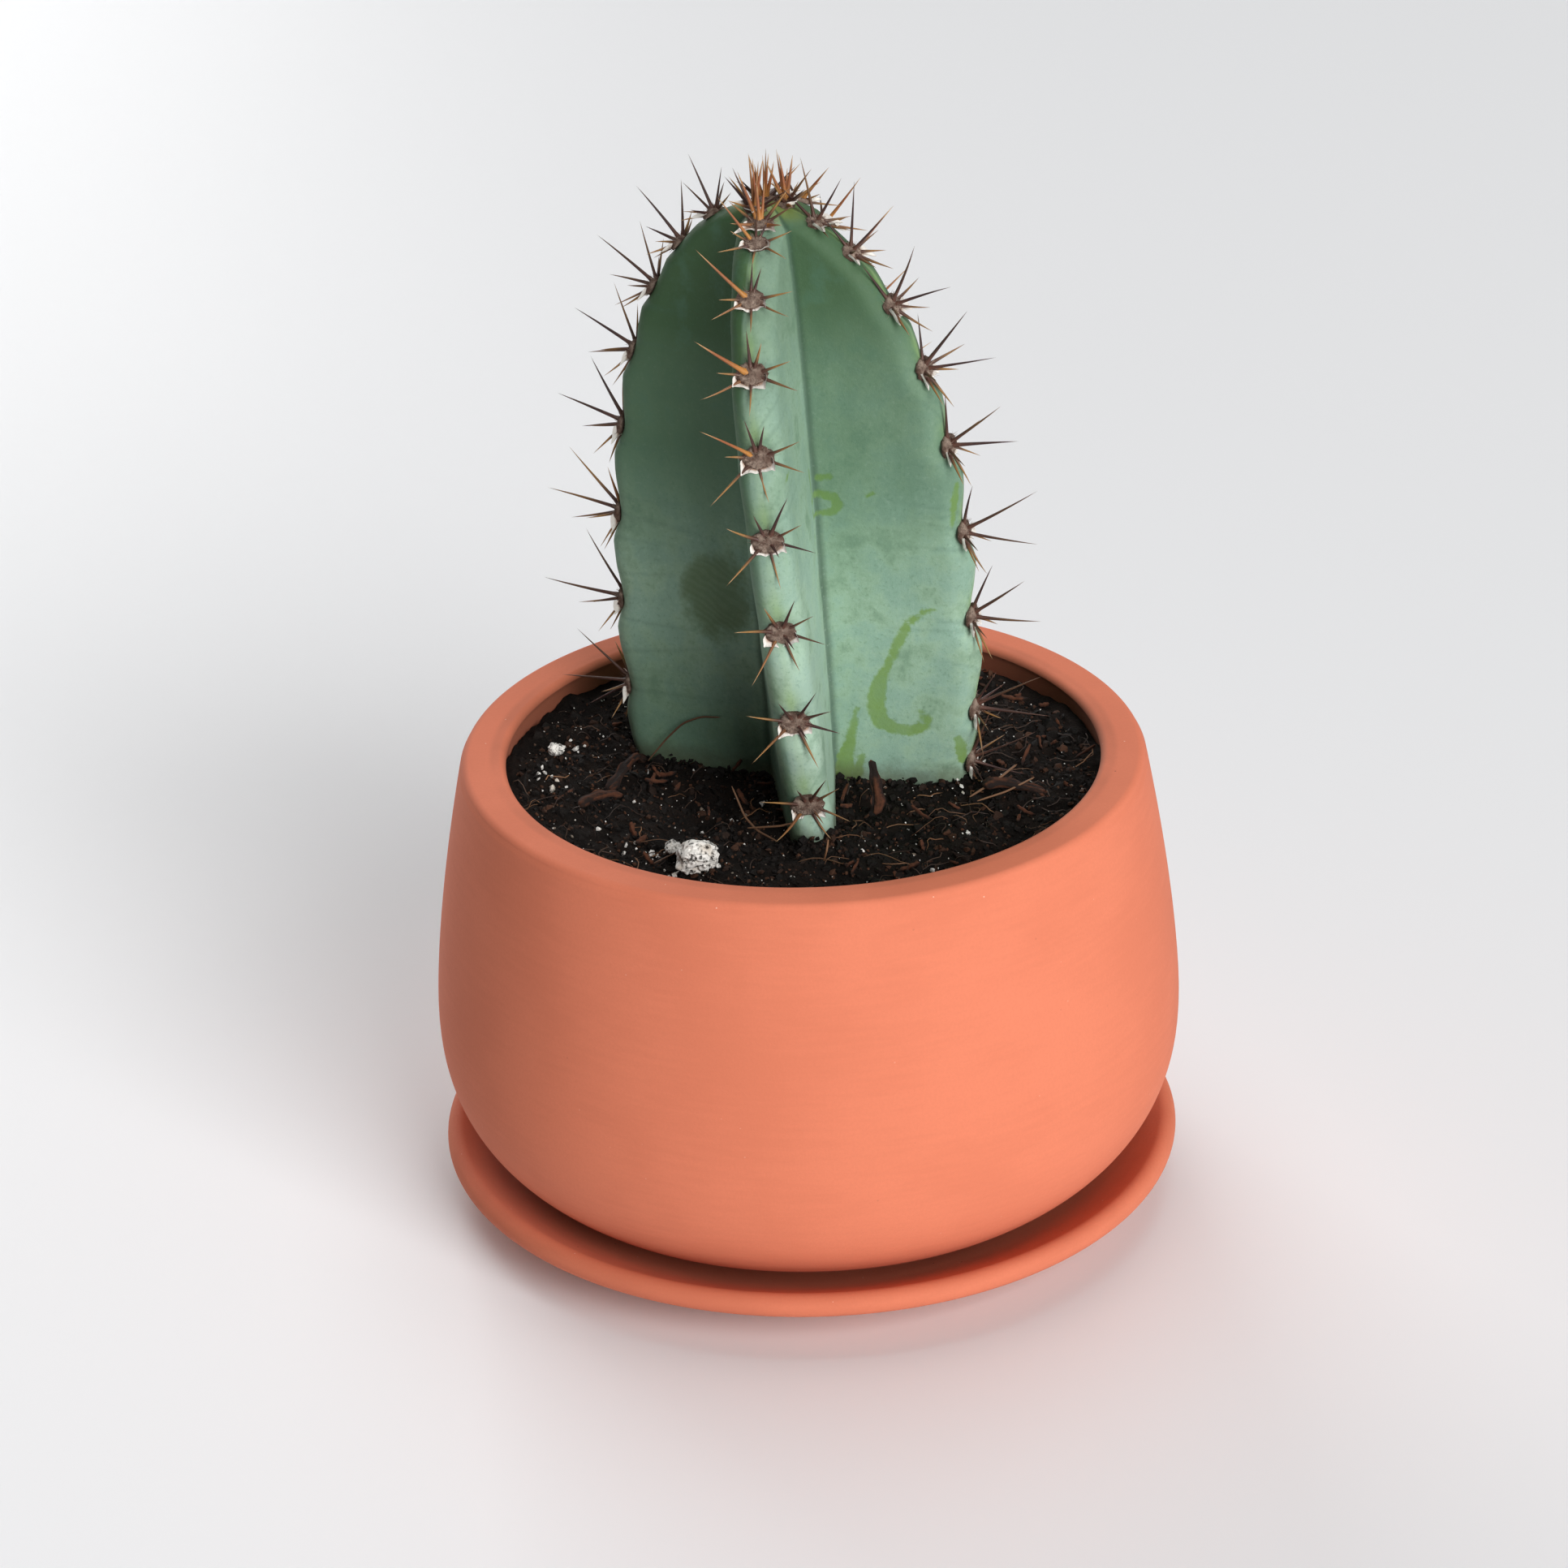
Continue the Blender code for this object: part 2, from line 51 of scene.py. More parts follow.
LIP_RING_RADIUS = 0.0748         # centre line of the rounded lip
LIP_RADIUS = 0.0024
LIP_HEIGHT = 0.0119
SAUCER_FOOT = 0.051
SAUCER_WELL = 0.050
SAUCER_FLOOR = 0.0052
TURN_STEPS = 256                 # columns round a turned piece
LIP_TOP = (0.013, 0.017)         # heights between which the saucer's lip ends
RIM_START = (0.094, 0.0965)      # heights between which the pot's rim begins
CLAY_LIGHT = (0.708, 0.200, 0.107)
CLAY_DEEP = (0.660, 0.182, 0.096)
SAUCER_LIGHT = (0.672, 0.186, 0.098)
SAUCER_DEEP = (0.610, 0.164, 0.086)
CLAY_GRAIN = (0.84, 0.60, 0.48)
CLAY_PORE = (0.20, 0.060, 0.035)
DAMP_AND_SHADE_CLAY = (0.290, 0.088, 0.047)
DAMP_AND_SHADE_TOP = (0.0985, 0.1015)      # heights between which the damp and the painted shade fade out


def smoothly(low, high, value):
    """0 below low, 1 above high, and 3t^2 - 2t^3 between them."""
    t = np.clip((value - low) / (high - low), 0, 1)
    return t * t * (3 - 2 * t)


def rough(points, size, seed):
    """A smooth random value from -1 to 1 at each point: every corner of a
    cubic lattice of that size has its own value, and they are blended across
    each cell by 3t^2 - 2t^3."""
    table = np.random.default_rng(seed).uniform(-1, 1, (32, 32, 32))
    place = np.asarray(points) / size + 500
    cell = np.floor(place).astype(int)
    t = place - cell
    t = t * t * (3 - 2 * t)
    total = 0
    for corner in np.ndindex(2, 2, 2):
        i, j, k = np.moveaxis((cell + corner) % 32, -1, 0)
        share = np.prod(np.where(corner, t, 1 - t), axis=-1)
        total = total + share * table[i, j, k]
    return total


def grid_faces(rows, columns, ring):
    """Corner numbers of the faces of a grid of points, low row first and
    anticlockwise from outside. The last column joins the first, and with ring
    the last row joins the first."""
    index = np.arange(rows * columns).reshape(rows, columns)
    if ring:
        index = np.vstack([index, index[:1]])
    index = np.hstack([index, index[:, :1]])
    corners = (index[:-1, :-1], index[:-1, 1:], index[1:, 1:], index[1:, :-1])
    return np.stack(corners, axis=-1).reshape(-1, 4)


def shell(grid, foot=None, tip=None, ring=False, **values):
    """A closed part from a grid of points, rows by columns by xyz, which wraps
    round its columns. foot and tip are the points that close its first and
    last rows; otherwise ring joins those rows. values are numbers kept at
    each point, for the finish to read."""
    rows, columns, _ = grid.shape
    points = grid.reshape(-1, 3)
    faces = grid_faces(rows, columns, ring).tolist()
    kept = {k: np.broadcast_to(v, (rows, columns)).ravel() for k, v in values.items()}
    first = np.arange(columns)
    for end, row in ((foot, first[::-1]), (tip, first + (rows - 1) * columns)):
        if end is not None:
            fan = np.stack([row, np.roll(row, -1), np.full(columns, len(points))], axis=1)
            faces += fan.tolist()
            points = np.vstack([points, end])
            kept = {k: np.append(v, v[row].mean()) for k, v in kept.items()}
    return points, faces, kept


def add_piece(name, parts, finishes, stands_for=(), sharp=40):
    """Joins parts into one mesh and adds it to the object. Each part is
    (points, faces, values) with an optional number of its finish. Values a
    part doesn't have are 0 there."""
    points, faces, finish_of = [], [], []
    keys = sorted({key for part in parts for key in part[2]})
    values = {key: [] for key in keys}
    start = 0
    for part in parts:
        points.append(part[0])
        faces += [[corner + start for corner in face] for face in part[1]]
        finish_of += [part[3] if len(part) > 3 else 0] * len(part[1])
        for key in keys:
            values[key].append(part[2].get(key, np.zeros(len(part[0]))))
        start += len(part[0])
    mesh = bpy.data.meshes.new(name)
    mesh.from_pydata(np.vstack(points), [], faces)
    mesh.polygons.foreach_set("material_index", finish_of)
    for key in keys:
        layer = mesh.attributes.new(key, "FLOAT", "POINT")
        layer.data.foreach_set("value", np.concatenate(values[key]).astype(np.float32))
    mesh.shade_smooth()
    mesh.set_sharp_from_angle(angle=np.radians(sharp))
    for finish in finishes:
        mesh.materials.append(finish.material)
    piece = bpy.data.objects.new(name, mesh)
    bpy.context.scene.collection.objects.link(piece)
    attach(piece, "root")
    if stands_for:
        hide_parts(*stands_for)


def circle_grid(radius, height):
    """Points at angle 2 pi k / steps round the Z axis for each (radius,
    height) of a profile: x = r cos, y = r sin."""
    turn = np.linspace(0, 2 * np.pi, TURN_STEPS, endpoint=False)
    radius = np.asarray(radius)[:, None]
    z = np.broadcast_to(np.asarray(height)[:, None], (len(radius), TURN_STEPS))
    return np.stack([radius * np.cos(turn), radius * np.sin(turn), z], axis=-1)


def arc(centre, radius, start, end, steps):
    """Circle points (r, z) about a centre, from start to end in degrees."""
    turn = np.radians(np.linspace(start, end, steps))
    return centre[0] + radius * np.cos(turn), centre[1] + radius * np.sin(turn)


class Field:
    """A value that varies over a surface: one output socket in the nodes of a
    finish. Sums, products and powers of fields add Math nodes."""

    def __init__(self, finish, socket):
        self.finish = finish
        self.socket = socket

    def maths(self, operation, *values):
        inputs = dict(enumerate(values))
        return self.finish.node("Math", {"operation": operation}, inputs)

    def __add__(self, other):
        return self.maths("ADD", self, other)

    def __sub__(self, other):
        return self.maths("SUBTRACT", self, other)

    def __rsub__(self, other):
        return self.maths("SUBTRACT", other, self)

    def __mul__(self, other):
        return self.maths("MULTIPLY", self, other)

    def __pow__(self, power):
        return self.maths("POWER", self, power)

    __radd__ = __add__
    __rmul__ = __mul__

    def step(self, low, high):
        """0 at low, 1 at high, and smooth between them. low may be the larger."""
        inputs = {"Value": self, "From Min": low, "From Max": high}
        return self.finish.node("MapRange", {"interpolation_type": "SMOOTHSTEP"}, inputs)

    def larger(self, other):
        return self.maths("MAXIMUM", self, other)


class Finish:
    """A material in the making: a Principled shader, with even values given by
    socket name and varying ones fed to it from nodes."""

    def __init__(self, name, **even):
        self.material = bpy.data.materials.new(name)
        self.material.use_nodes = True
        self.nodes = self.material.node_tree.nodes
        self.shader = self.nodes["Principled BSDF"]
        for socket, value in even.items():
            self.give(self.shader.inputs[socket.replace("_", " ")], value)
        self.place = self.node("TexCoord", output="Object")

    def give(self, socket, value):
        if isinstance(value, Field):
            self.material.node_tree.links.new(value.socket, socket)
        elif isinstance(value, tuple) and len(value) < len(socket.default_value):
            socket.default_value = (*value, 1.0)
        else:
            socket.default_value = value

    def node(self, kind, settings=None, inputs=None, output=0):
        node = self.nodes.new("ShaderNode" + kind)
        for key, value in (settings or {}).items():
            setattr(node, key, value)
        for key, value in (inputs or {}).items():
            self.give(node.inputs[key], value)
        return Field(self, node.outputs[output])

    def feed(self, socket, value):
        self.give(self.shader.inputs[socket], value)

    def value(self, name):
        """A number kept at the points of the mesh."""
        return self.node("Attribute", {"attribute_name": name}, output="Fac")

    def height(self):
        return self.node("SeparateXYZ", inputs={0: self.place}, output="Z")

    def noise(self, size, detail=2.0, stretch=None, roughness=0.5):
        """Cloudy noise from 0 to 1 with clouds of about that size in metres.
        stretch multiplies the position first."""
        place = self.place
        if stretch:
            place = self.node("VectorMath", {"operation": "MULTIPLY"}, {0: place, 1: stretch})
        inputs = {"Vector": place, "Scale": 1 / size, "Detail": detail, "Roughness": roughness}
        return self.node("TexNoise", inputs=inputs, output="Fac")

    def spots(self, spacing, radius):
        """1 inside scattered round grains of a radius, 0 outside."""
        inputs = {"Vector": self.place, "Scale": 1 / spacing}
        away = self.node("TexVoronoi", inputs=inputs, output="Distance")
        return away.step(radius / spacing, 0.7 * radius / spacing)

    def mix(self, share, first, second):
        """A colour between first, at share 0, and second, at share 1."""
        return self.node("Mix", {"data_type": "RGBA"}, {0: share, 6: first, 7: second}, 2)

    def paint(self, tone, *coats):
        """The base colour: a tone with coats over it in turn, each a share and
        the colour that it mixes in."""
        for share, colour in coats:
            tone = self.mix(share, tone, colour)
        self.feed("Base Color", tone)

    def bump(self, height, depth):
        """height, from 0 to 1, is worth that depth in metres."""
        self.feed("Normal", self.node("Bump", inputs={"Height": height, "Distance": depth}))


def edge_share(clay):
    """1 on the rim of the pot and on the saucer's lip, 0.25 on the walls: the
    cut and rubbed edges lay the clay's grains open."""
    rise = clay.height()
    return 0.25 + 0.75 * rise.step(*RIM_START).larger(rise.step(*LIP_TOP[::-1]))


def clay_finish(name, light, deep, damp_and_shade_radius=0.0):
    """Fired clay: clouds of two near tones, fine grain, rare pale grains and
    rare dark pinholes. Inside the damp and shade radius it is darker, up to a
    wavy line near the top of the pot: partly damp clay, partly painted shade
    inside the pot's mouth."""
    clay = Finish(name, Specular_IOR_Level=0.40)
    clouds = clay.noise(0.030, 4.0)
    wiped = clay.noise(0.012, 3.0, stretch=(1.0, 1.0, 9.0))
    grain = clay.noise(0.0006, 3.0, roughness=0.7)
    pale = clay.spots(0.0056, 0.00021) * edge_share(clay)
    pores = clay.spots(0.0083, 0.00024) * edge_share(clay)
    coats = [(grain.step(0.32, 0.72) * 0.22, tuple(0.84 * c for c in light)),
             (pale * 0.60, CLAY_GRAIN), (pores * 0.70, CLAY_PORE)]
    # inside the pot the clay is darker up to a wavy line: partly damp clay, partly painted shade
    if damp_and_shade_radius:
        flat = clay.node("VectorMath", {"operation": "MULTIPLY"}, {0: clay.place, 1: (1, 1, 0)})
        reach = clay.node("VectorMath", {"operation": "LENGTH"}, {0: flat}, "Value")
        inside = reach.step(damp_and_shade_radius + 0.0015, damp_and_shade_radius)
        low = (clay.height() + 0.0030 * clouds).step(*DAMP_AND_SHADE_TOP[::-1])
        coats.append((inside * low * 0.86, DAMP_AND_SHADE_CLAY))
    clay.paint(clay.mix((0.7 * clouds + 0.3 * wiped).step(0.36, 0.64), deep, light), *coats)
    clay.feed("Roughness", 0.78 + 0.12 * grain)
    clay.bump(grain * 0.5 + 0.2 * wiped + pale * 0.25 - pores, 0.00008)
    return clay


def saucer_profile():
    """(r, z) from the foot up the underside, round the lip and down into the
    dish. Each wall is a power curve of its share of the way to the lip."""
    rim_r, rim_z = arc((LIP_RING_RADIUS, LIP_HEIGHT), LIP_RADIUS, -62, 118, 26)
    u = np.linspace(0, 1, 24)[:-1]
    under_r = SAUCER_FOOT + (rim_r[0] - SAUCER_FOOT) * u
    under_z = rim_z[0] * u ** 1.3
    inside_r = SAUCER_WELL + (rim_r[-1] - SAUCER_WELL) * u[::-1]
    inside_z = SAUCER_FLOOR + (rim_z[-1] - SAUCER_FLOOR) * u[::-1] ** 1.5
    flat = SAUCER_WELL * np.array([0.98, 0.8, 0.5, 0.2])
    radius = np.concatenate([under_r, rim_r, inside_r, flat])
    return radius, np.concatenate([under_z, rim_z, inside_z, np.full(4, SAUCER_FLOOR)])


saucer_grid = circle_grid(*saucer_profile())
saucer_clay = clay_finish("saucer_clay", SAUCER_LIGHT, SAUCER_DEEP)
add_piece("saucer_dish", [shell(saucer_grid, foot=(0, 0, 0), tip=(0, 0, SAUCER_FLOOR))],
          [saucer_clay], ["saucer"])

# ================================================================ pot
# Round-bellied pot of the same matt terracotta, cast with a wall 9 mm thick.
# The rim is cut flat and its edges are rubbed round. A drain hole goes through
# the floor. Damp soil and painted shade darken the inside up to a wavy line
# near the rim.
POT_BELLY_RADIUS = 0.0775
POT_BELLY_HEIGHT = 0.0441
POT_FOOT_RADIUS = 0.040
POT_BASE = SAUCER_FLOOR + GAP
POT_HEIGHT = 0.0992
POT_RIM_RADIUS = 0.0700
POT_WALL = 0.0091
POT_FLOOR = POT_BASE + POT_WALL
POT_MOUTH = POT_RIM_RADIUS - POT_WALL
RIM_ROUNDING = 0.0016
DRAIN_RADIUS = 0.006
SOIL_HEIGHT = 0.0930             # mean level of the soil's surface


def pot_radius(height, inset=0.0, base=POT_BASE):
    """Outside radius. Above the belly the wall leans in with the 1.5th power
    of the height, and below it the form is a superellipse of power 2.5 that
    ends at the foot. The inside is the same form, one wall in."""
    up = np.clip((height - POT_BELLY_HEIGHT) / (POT_HEIGHT - POT_BELLY_HEIGHT), 0, 1)
    down = np.clip((POT_BELLY_HEIGHT - height) / (POT_BELLY_HEIGHT - base), 0, 1)
    neck = POT_BELLY_RADIUS - (POT_BELLY_RADIUS - POT_RIM_RADIUS) * up ** 1.5
    bulge = (POT_BELLY_RADIUS - POT_FOOT_RADIUS) * np.sqrt(1 - down ** 2.5)
    return np.where(height >= POT_BELLY_HEIGHT, neck, POT_FOOT_RADIUS + bulge) - inset


def belly_levels(base, top, count=60):
    """Heights from base to top, closer together at the foot, where the form
    turns under."""
    u = np.linspace(0, 1, count)
    low = base + (POT_BELLY_HEIGHT - base) * u ** 2
    high = POT_BELLY_HEIGHT + (top - POT_BELLY_HEIGHT) * u[1:]
    return np.concatenate([low, high])


def pot_profile():
    """(r, z) from the drain hole out under the foot, up the outside, over the
    rim and down the inside to the floor."""
    top = POT_HEIGHT - RIM_ROUNDING
    outer = arc((POT_RIM_RADIUS - RIM_ROUNDING, top), RIM_ROUNDING, 8, 90, 12)
    inner = arc((POT_MOUTH + RIM_ROUNDING, top), RIM_ROUNDING, 90, 172, 12)
    outside = belly_levels(POT_BASE, POT_HEIGHT - 1.2 * RIM_ROUNDING)
    inside = belly_levels(POT_FLOOR, POT_HEIGHT - 1.2 * RIM_ROUNDING)[::-1]
    radius = [[DRAIN_RADIUS, DRAIN_RADIUS], pot_radius(outside), outer[0], inner[0]]
    radius.append(pot_radius(inside, POT_WALL, POT_FLOOR))
    return np.concatenate(radius), np.concatenate(
        [[POT_FLOOR, POT_BASE], outside, outer[1], inner[1], inside])


clay = clay_finish("clay", CLAY_LIGHT, CLAY_DEEP, damp_and_shade_radius=POT_MOUTH + 0.0025)
add_piece("pot_body", [shell(circle_grid(*pot_profile()), ring=True)],
          [clay], ["terracotta_pot"])

# ================================================================ soil
# One mass of dark peat that fills the pot and fits the buried foot of the
# stem. Its surface is crumbly: crumbs and clods, fine root fibres, white
# grains of perlite and reddish splinters of bark.
SOIL_RELIEF = 0.0006             # height of its gentle waves
STEM_AXIS = (0.0000, 0.0040)     # where the stem's axis crosses z = 0.092
STEM_LEAN = (-0.035, 0.001)
STEM_FOOT_HEIGHT = 0.092
STEM_BOTTOM = 0.0745
STEM_MIDDLE = 0.130
STEM_TOP = 0.2155
STEM_FOOT_DEPTH = 0.075          # from the middle down to where the foot would close
STEM_RADIUS = 0.0389             # axis to crest at the widest section
STEM_FULLNESS = 2.7              # 2 is an ellipse, and more is a blunter dome
STEM_TWIST = np.radians(-126)    # turn of the ribs for each metre up
CREST_RADIUS = 0.0046            # roundness of a rib's crest
CREST_SHARE = 0.42               # most of the reach that the crest's radius takes
CREST_CROWDING = 0.115           # how much the columns gather at the crests
FLANK_TAPER = np.radians(4)      # how much a rib thickens towards the axis
FLANK_END = np.radians(120)      # a rib's flank is followed up to this angle
VALLEY_SHARPNESS = 16
NOTCH_DEPTH = 0.0019             # dip in a crest at each areole
NOTCH_ABOVE = 0.0080             # length of the dip's slow upper side
NOTCH_BELOW = 0.0038             # length of its short lower side
NOTCH_FADE = 0.6                 # the dips get shallower on the dome by this power
CUT_END = 0.009                  # height over which the buried end is rounded
CUT_END_SHARE = 0.8              # how far it has closed at the bottom
RIBS = {                         # azimuth at the foot, heights of the areoles in mm
    "right": (-10.5, (97.0, 109.4, 130.5, 149.6, 168.5, 184.8, 197.6, 207.7, 212.9)),
    "back": (74.0, (104.0, 124.0, 143.5, 162.0, 178.5, 193.0, 204.5, 212.3)),
    "left": (163.0, (107.5, 126.1, 144.8, 163.7, 179.9, 194.0, 204.0, 211.3)),
    "front": (272.7, (101.7, 120.8, 140.3, 159.2, 175.6, 190.9, 203.4, 211.6)),
}


def stem_axis(height):
    rise = height - STEM_FOOT_HEIGHT
    return STEM_AXIS[0] + STEM_LEAN[0] * rise, STEM_AXIS[1] + STEM_LEAN[1] * rise


def rib_azimuth(rib, height):
    return np.radians(RIBS[rib][0]) + STEM_TWIST * (height - STEM_FOOT_HEIGHT)


def crest_reach(height):
    """Axis to crest without notches: a superellipse in height, with another
    half length below the middle than above, and a rounded cut end."""
    half = np.where(height > STEM_MIDDLE, STEM_TOP - STEM_MIDDLE, STEM_FOOT_DEPTH)
    u = np.clip(np.abs(height - STEM_MIDDLE) / half, 0, 1)
    reach = STEM_RADIUS * np.sqrt(1 - u ** STEM_FULLNESS)
    end = np.clip((STEM_BOTTOM + CUT_END - height) / CUT_END, 0, 1)
    return reach * np.sqrt(1 - CUT_END_SHARE * end ** 2)


def notch(rib, height):
    """A dip in the crest at each of its areoles: half a Gaussian above it and
    a shorter half below."""
    rise = np.asarray(height)[..., None] - np.array(RIBS[rib][1]) / 1000
    length = np.where(rise > 0, NOTCH_ABOVE, NOTCH_BELOW)
    depth = NOTCH_DEPTH * (crest_reach(height) / STEM_RADIUS) ** NOTCH_FADE
    return depth * np.exp(-(rise / length) ** 2).max(axis=-1)


def rib_profile(reach, angle, swell=0.0):
    """Polar radius of a rib at an angle from its crest: a circle round the
    crest, and then a straight flank that parts from the other by the taper."""
    girth = np.minimum(CREST_RADIUS, CREST_SHARE * reach) + swell
    centre = reach - girth + swell
    angle = np.abs(angle)
    edge = np.arctan2(girth * np.cos(FLANK_TAPER), centre + girth * np.sin(FLANK_TAPER))
    inside = np.maximum(girth ** 2 - (centre * np.sin(angle)) ** 2, 0)
    crest = centre * np.cos(angle) + np.sqrt(inside)
    lean = np.sin(np.clip(angle, 0.05, FLANK_END) + FLANK_TAPER)
    flank = (girth + centre * np.sin(FLANK_TAPER)) / lean
    return np.where(angle <= edge, crest, np.where(angle < FLANK_END, flank, 0))


def stem_radius(turn, height, swell=0.0):
    """The ribs together: the p-norm of their profiles, so that they meet in
    narrow valleys."""
    total = 0
    for rib in RIBS:
        off = (turn - rib_azimuth(rib, height) + np.pi) % (2 * np.pi) - np.pi
        reach = crest_reach(height) - notch(rib, height)
        total = total + rib_profile(reach, off, swell) ** VALLEY_SHARPNESS
    return total ** (1 / VALLEY_SHARPNESS)


def crowded(share):
    """The share of a sector's angle at a share of its columns: they lie closer
    together at both crests, by t - 0.115 sin 2 pi t."""
    return share - CREST_CROWDING * np.sin(2 * np.pi * share)


def stem_turns(height, steps):
    """Azimuths of the columns of the stem at each height, from each rib's
    crest to the next one's."""
    spread = crowded(np.arange(steps) / steps)
    starts = [rib_azimuth(rib, height) for rib in RIBS]
    turns = []
    for start, after in zip(starts, starts[1:] + starts[:1]):
        sector = (after - start) % (2 * np.pi)
        turns.append(start[:, None] + sector[:, None] * spread)
    return np.concatenate(turns, axis=1)


def stem_grid(height, steps, swell=0.0):
    """Points of the stem's surface, one row for each height."""
    turn = stem_turns(height, steps)
    level = height[:, None]
    radius = stem_radius(turn, np.broadcast_to(level, turn.shape), swell)
    x, y = stem_axis(level)
    z = np.broadcast_to(level, turn.shape)
    return np.stack([x + radius * np.cos(turn), y + radius * np.sin(turn), z], axis=-1)


SOIL_DIPS = (                    # azimuth from the stem, distance, depth
    (-137, 0.024, 0.0036),
    (-52, 0.026, 0.0026),
)
DIP_WIDTH = 0.0125


def soil_dips(x, y):
    """Hollows beside the front rib, where water runs down the valleys: each is
    depth * exp(-(distance from its middle / width)^2)."""
    stem_x, stem_y = stem_axis(SOIL_HEIGHT)
    depth = 0
    for azimuth, distance, deepest in SOIL_DIPS:
        turn = np.radians(azimuth)
        across = x - stem_x - distance * np.cos(turn)
        along = y - stem_y - distance * np.sin(turn)
        depth = depth + deepest * np.exp(-(np.hypot(across, along) / DIP_WIDTH) ** 2)
    return depth


def soil_level(x, y):
    """Gentle waves that rise a little at the wall, with clods and crumbs."""
    waves = np.sin(210 * x + 0.6) * np.cos(170 * y - 0.4)
    edge = (np.hypot(x, y) / POT_RIM_RADIUS) ** 4
    flat = np.stack([x, y, 0 * x], axis=-1)
    clods = 1.5 * rough(flat, 0.0070, 11) + 1.1 * rough(flat, 0.0030, 12)
    crumbs = 0.60 * np.abs(rough(flat, 0.0013, 13)) + 0.30 * rough(flat, 0.0007, 14)
    return SOIL_HEIGHT + SOIL_RELIEF * (waves + edge + clods + crumbs) - soil_dips(x, y)


SOIL_COLUMNS = 96                # columns for each quarter of the surface
SOIL_ROWS = 120                  # rows from the pot's wall to the stem
EDGE_MARGIN = 0.0022             # kept free of crumbs at the pot's wall
STEM_MARGIN = 0.0006             # and at the stem
foot_levels = STEM_BOTTOM + np.array([0.0, 0.0022, 0.0060, 0.0110])
hollow = stem_grid(foot_levels, SOIL_COLUMNS, swell=2 * GAP)
hollow[..., 2] -= GAP
mouth = stem_grid(np.array([SOIL_HEIGHT]), SOIL_COLUMNS, swell=0.0)[0]
centre = np.array(stem_axis(SOIL_HEIGHT))
away = mouth[:, :2] - centre
away /= np.linalg.norm(away, axis=1)[:, None]


def wall_rows(radius, height):
    """Circles round the pot's axis, one for each radius and height, each point
    straight out from the stem's axis past a point of the hollow's mouth."""
    along = away @ centre
    square = np.asarray(radius)[:, None] ** 2 - centre @ centre
    reach = -along + np.sqrt(along ** 2 + square)
    flat = centre + reach[..., None] * away
    z = np.broadcast_to(np.asarray(height)[:, None], reach.shape)
    return np.concatenate([flat, z[..., None]], axis=-1)


wall = belly_levels(POT_FLOOR, SOIL_HEIGHT - 0.0015, 14)
wall = wall_rows(pot_radius(wall, POT_WALL, POT_FLOOR) - GAP, wall + GAP)
rim = wall_rows([pot_radius(SOIL_HEIGHT, POT_WALL, POT_FLOOR) - GAP], [SOIL_HEIGHT])[0]
inward = np.linspace(0, 1, SOIL_ROWS)[:, None, None]
surface = rim + (mouth - rim) * inward
surface[..., 2] = soil_level(surface[..., 0], surface[..., 1])
soil_grid = np.concatenate([wall, surface, hollow[::-1]])

peat = Finish("peat", Specular_IOR_Level=0.18)
peat_clouds = peat.noise(0.006, 4.0)
peat_grain = peat.noise(0.0007, 5.0, roughness=0.75)
peat.paint((0.0050, 0.0034, 0.0026),
           (peat_clouds.step(0.35, 0.70), (0.014, 0.0085, 0.006)),
           (peat_grain.step(0.52, 0.80) * 0.5, (0.050, 0.025, 0.015)))
peat.feed("Roughness", 0.97 - 0.3 * peat_grain.step(0.5, 0.8))
peat.bump(peat_grain + 0.6 * peat_clouds, 0.0007)
soil_tip = (*stem_axis(STEM_BOTTOM), STEM_BOTTOM - 0.0005 - GAP)
add_piece("peat_soil", [shell(soil_grid, foot=(0, 0, POT_FLOOR + GAP), tip=soil_tip)],
          [peat], ["potting_soil"])

GOLDEN = (1 + 5 ** 0.5) / 2
BLOB_POINTS = np.array([(-1, GOLDEN, 0), (1, GOLDEN, 0), (-1, -GOLDEN, 0), (1, -GOLDEN, 0),
                        (0, -1, GOLDEN), (0, 1, GOLDEN), (0, -1, -GOLDEN), (0, 1, -GOLDEN),
                        (GOLDEN, 0, -1), (GOLDEN, 0, 1), (-GOLDEN, 0, -1), (-GOLDEN, 0, 1)])
BLOB_POINTS = BLOB_POINTS / np.hypot(1, GOLDEN)
BLOB_FACES = np.array([(0, 11, 5), (0, 5, 1), (0, 1, 7), (0, 7, 10), (0, 10, 11),
                       (1, 5, 9), (5, 11, 4), (11, 10, 2), (10, 7, 6), (7, 1, 8),
                       (3, 9, 4), (3, 4, 2), (3, 2, 6), (3, 6, 8), (3, 8, 9),
                       (4, 9, 5), (2, 4, 11), (6, 2, 10), (8, 6, 7), (9, 8, 1)])


def turns_at_random(count, draw):
    """Random turns, one 3 by 3 matrix each, from random unit quaternions."""
    fours = draw.normal(size=(4, count))
    w, x, y, z = fours / np.linalg.norm(fours, axis=0)
    rows = [[1 - 2 * (y * y + z * z), 2 * (x * y - w * z), 2 * (x * z + w * y)],
            [2 * (x * y + w * z), 1 - 2 * (x * x + z * z), 2 * (y * z - w * x)],
            [2 * (x * z - w * y), 2 * (y * z + w * x), 1 - 2 * (x * x + y * y)]]
    return np.moveaxis(np.array(rows), -1, 0)


def crumbs(places, sizes, flatness, draw, **values):
    """A rough little lump at each place: an icosahedron with each corner moved
    in or out at random, stretched to its size, squashed and turned."""
    count = len(places)
    dents = draw.uniform(0.50, 1.25, (count, 12, 1))
    squash = draw.uniform(flatness, 1.0, (count, 1, 3))
    lumps = BLOB_POINTS * dents * squash * np.asarray(sizes)[:, None, None]
    lumps = np.einsum("nij,nkj->nki", turns_at_random(count, draw), lumps)
    points = (lumps + np.asarray(places)[:, None, :]).reshape(-1, 3)
    faces = (BLOB_FACES + 12 * np.arange(count)[:, None, None]).reshape(-1, 3)
    kept = {key: np.repeat(value, 12) for key, value in values.items()}
    return points, faces.tolist(), kept


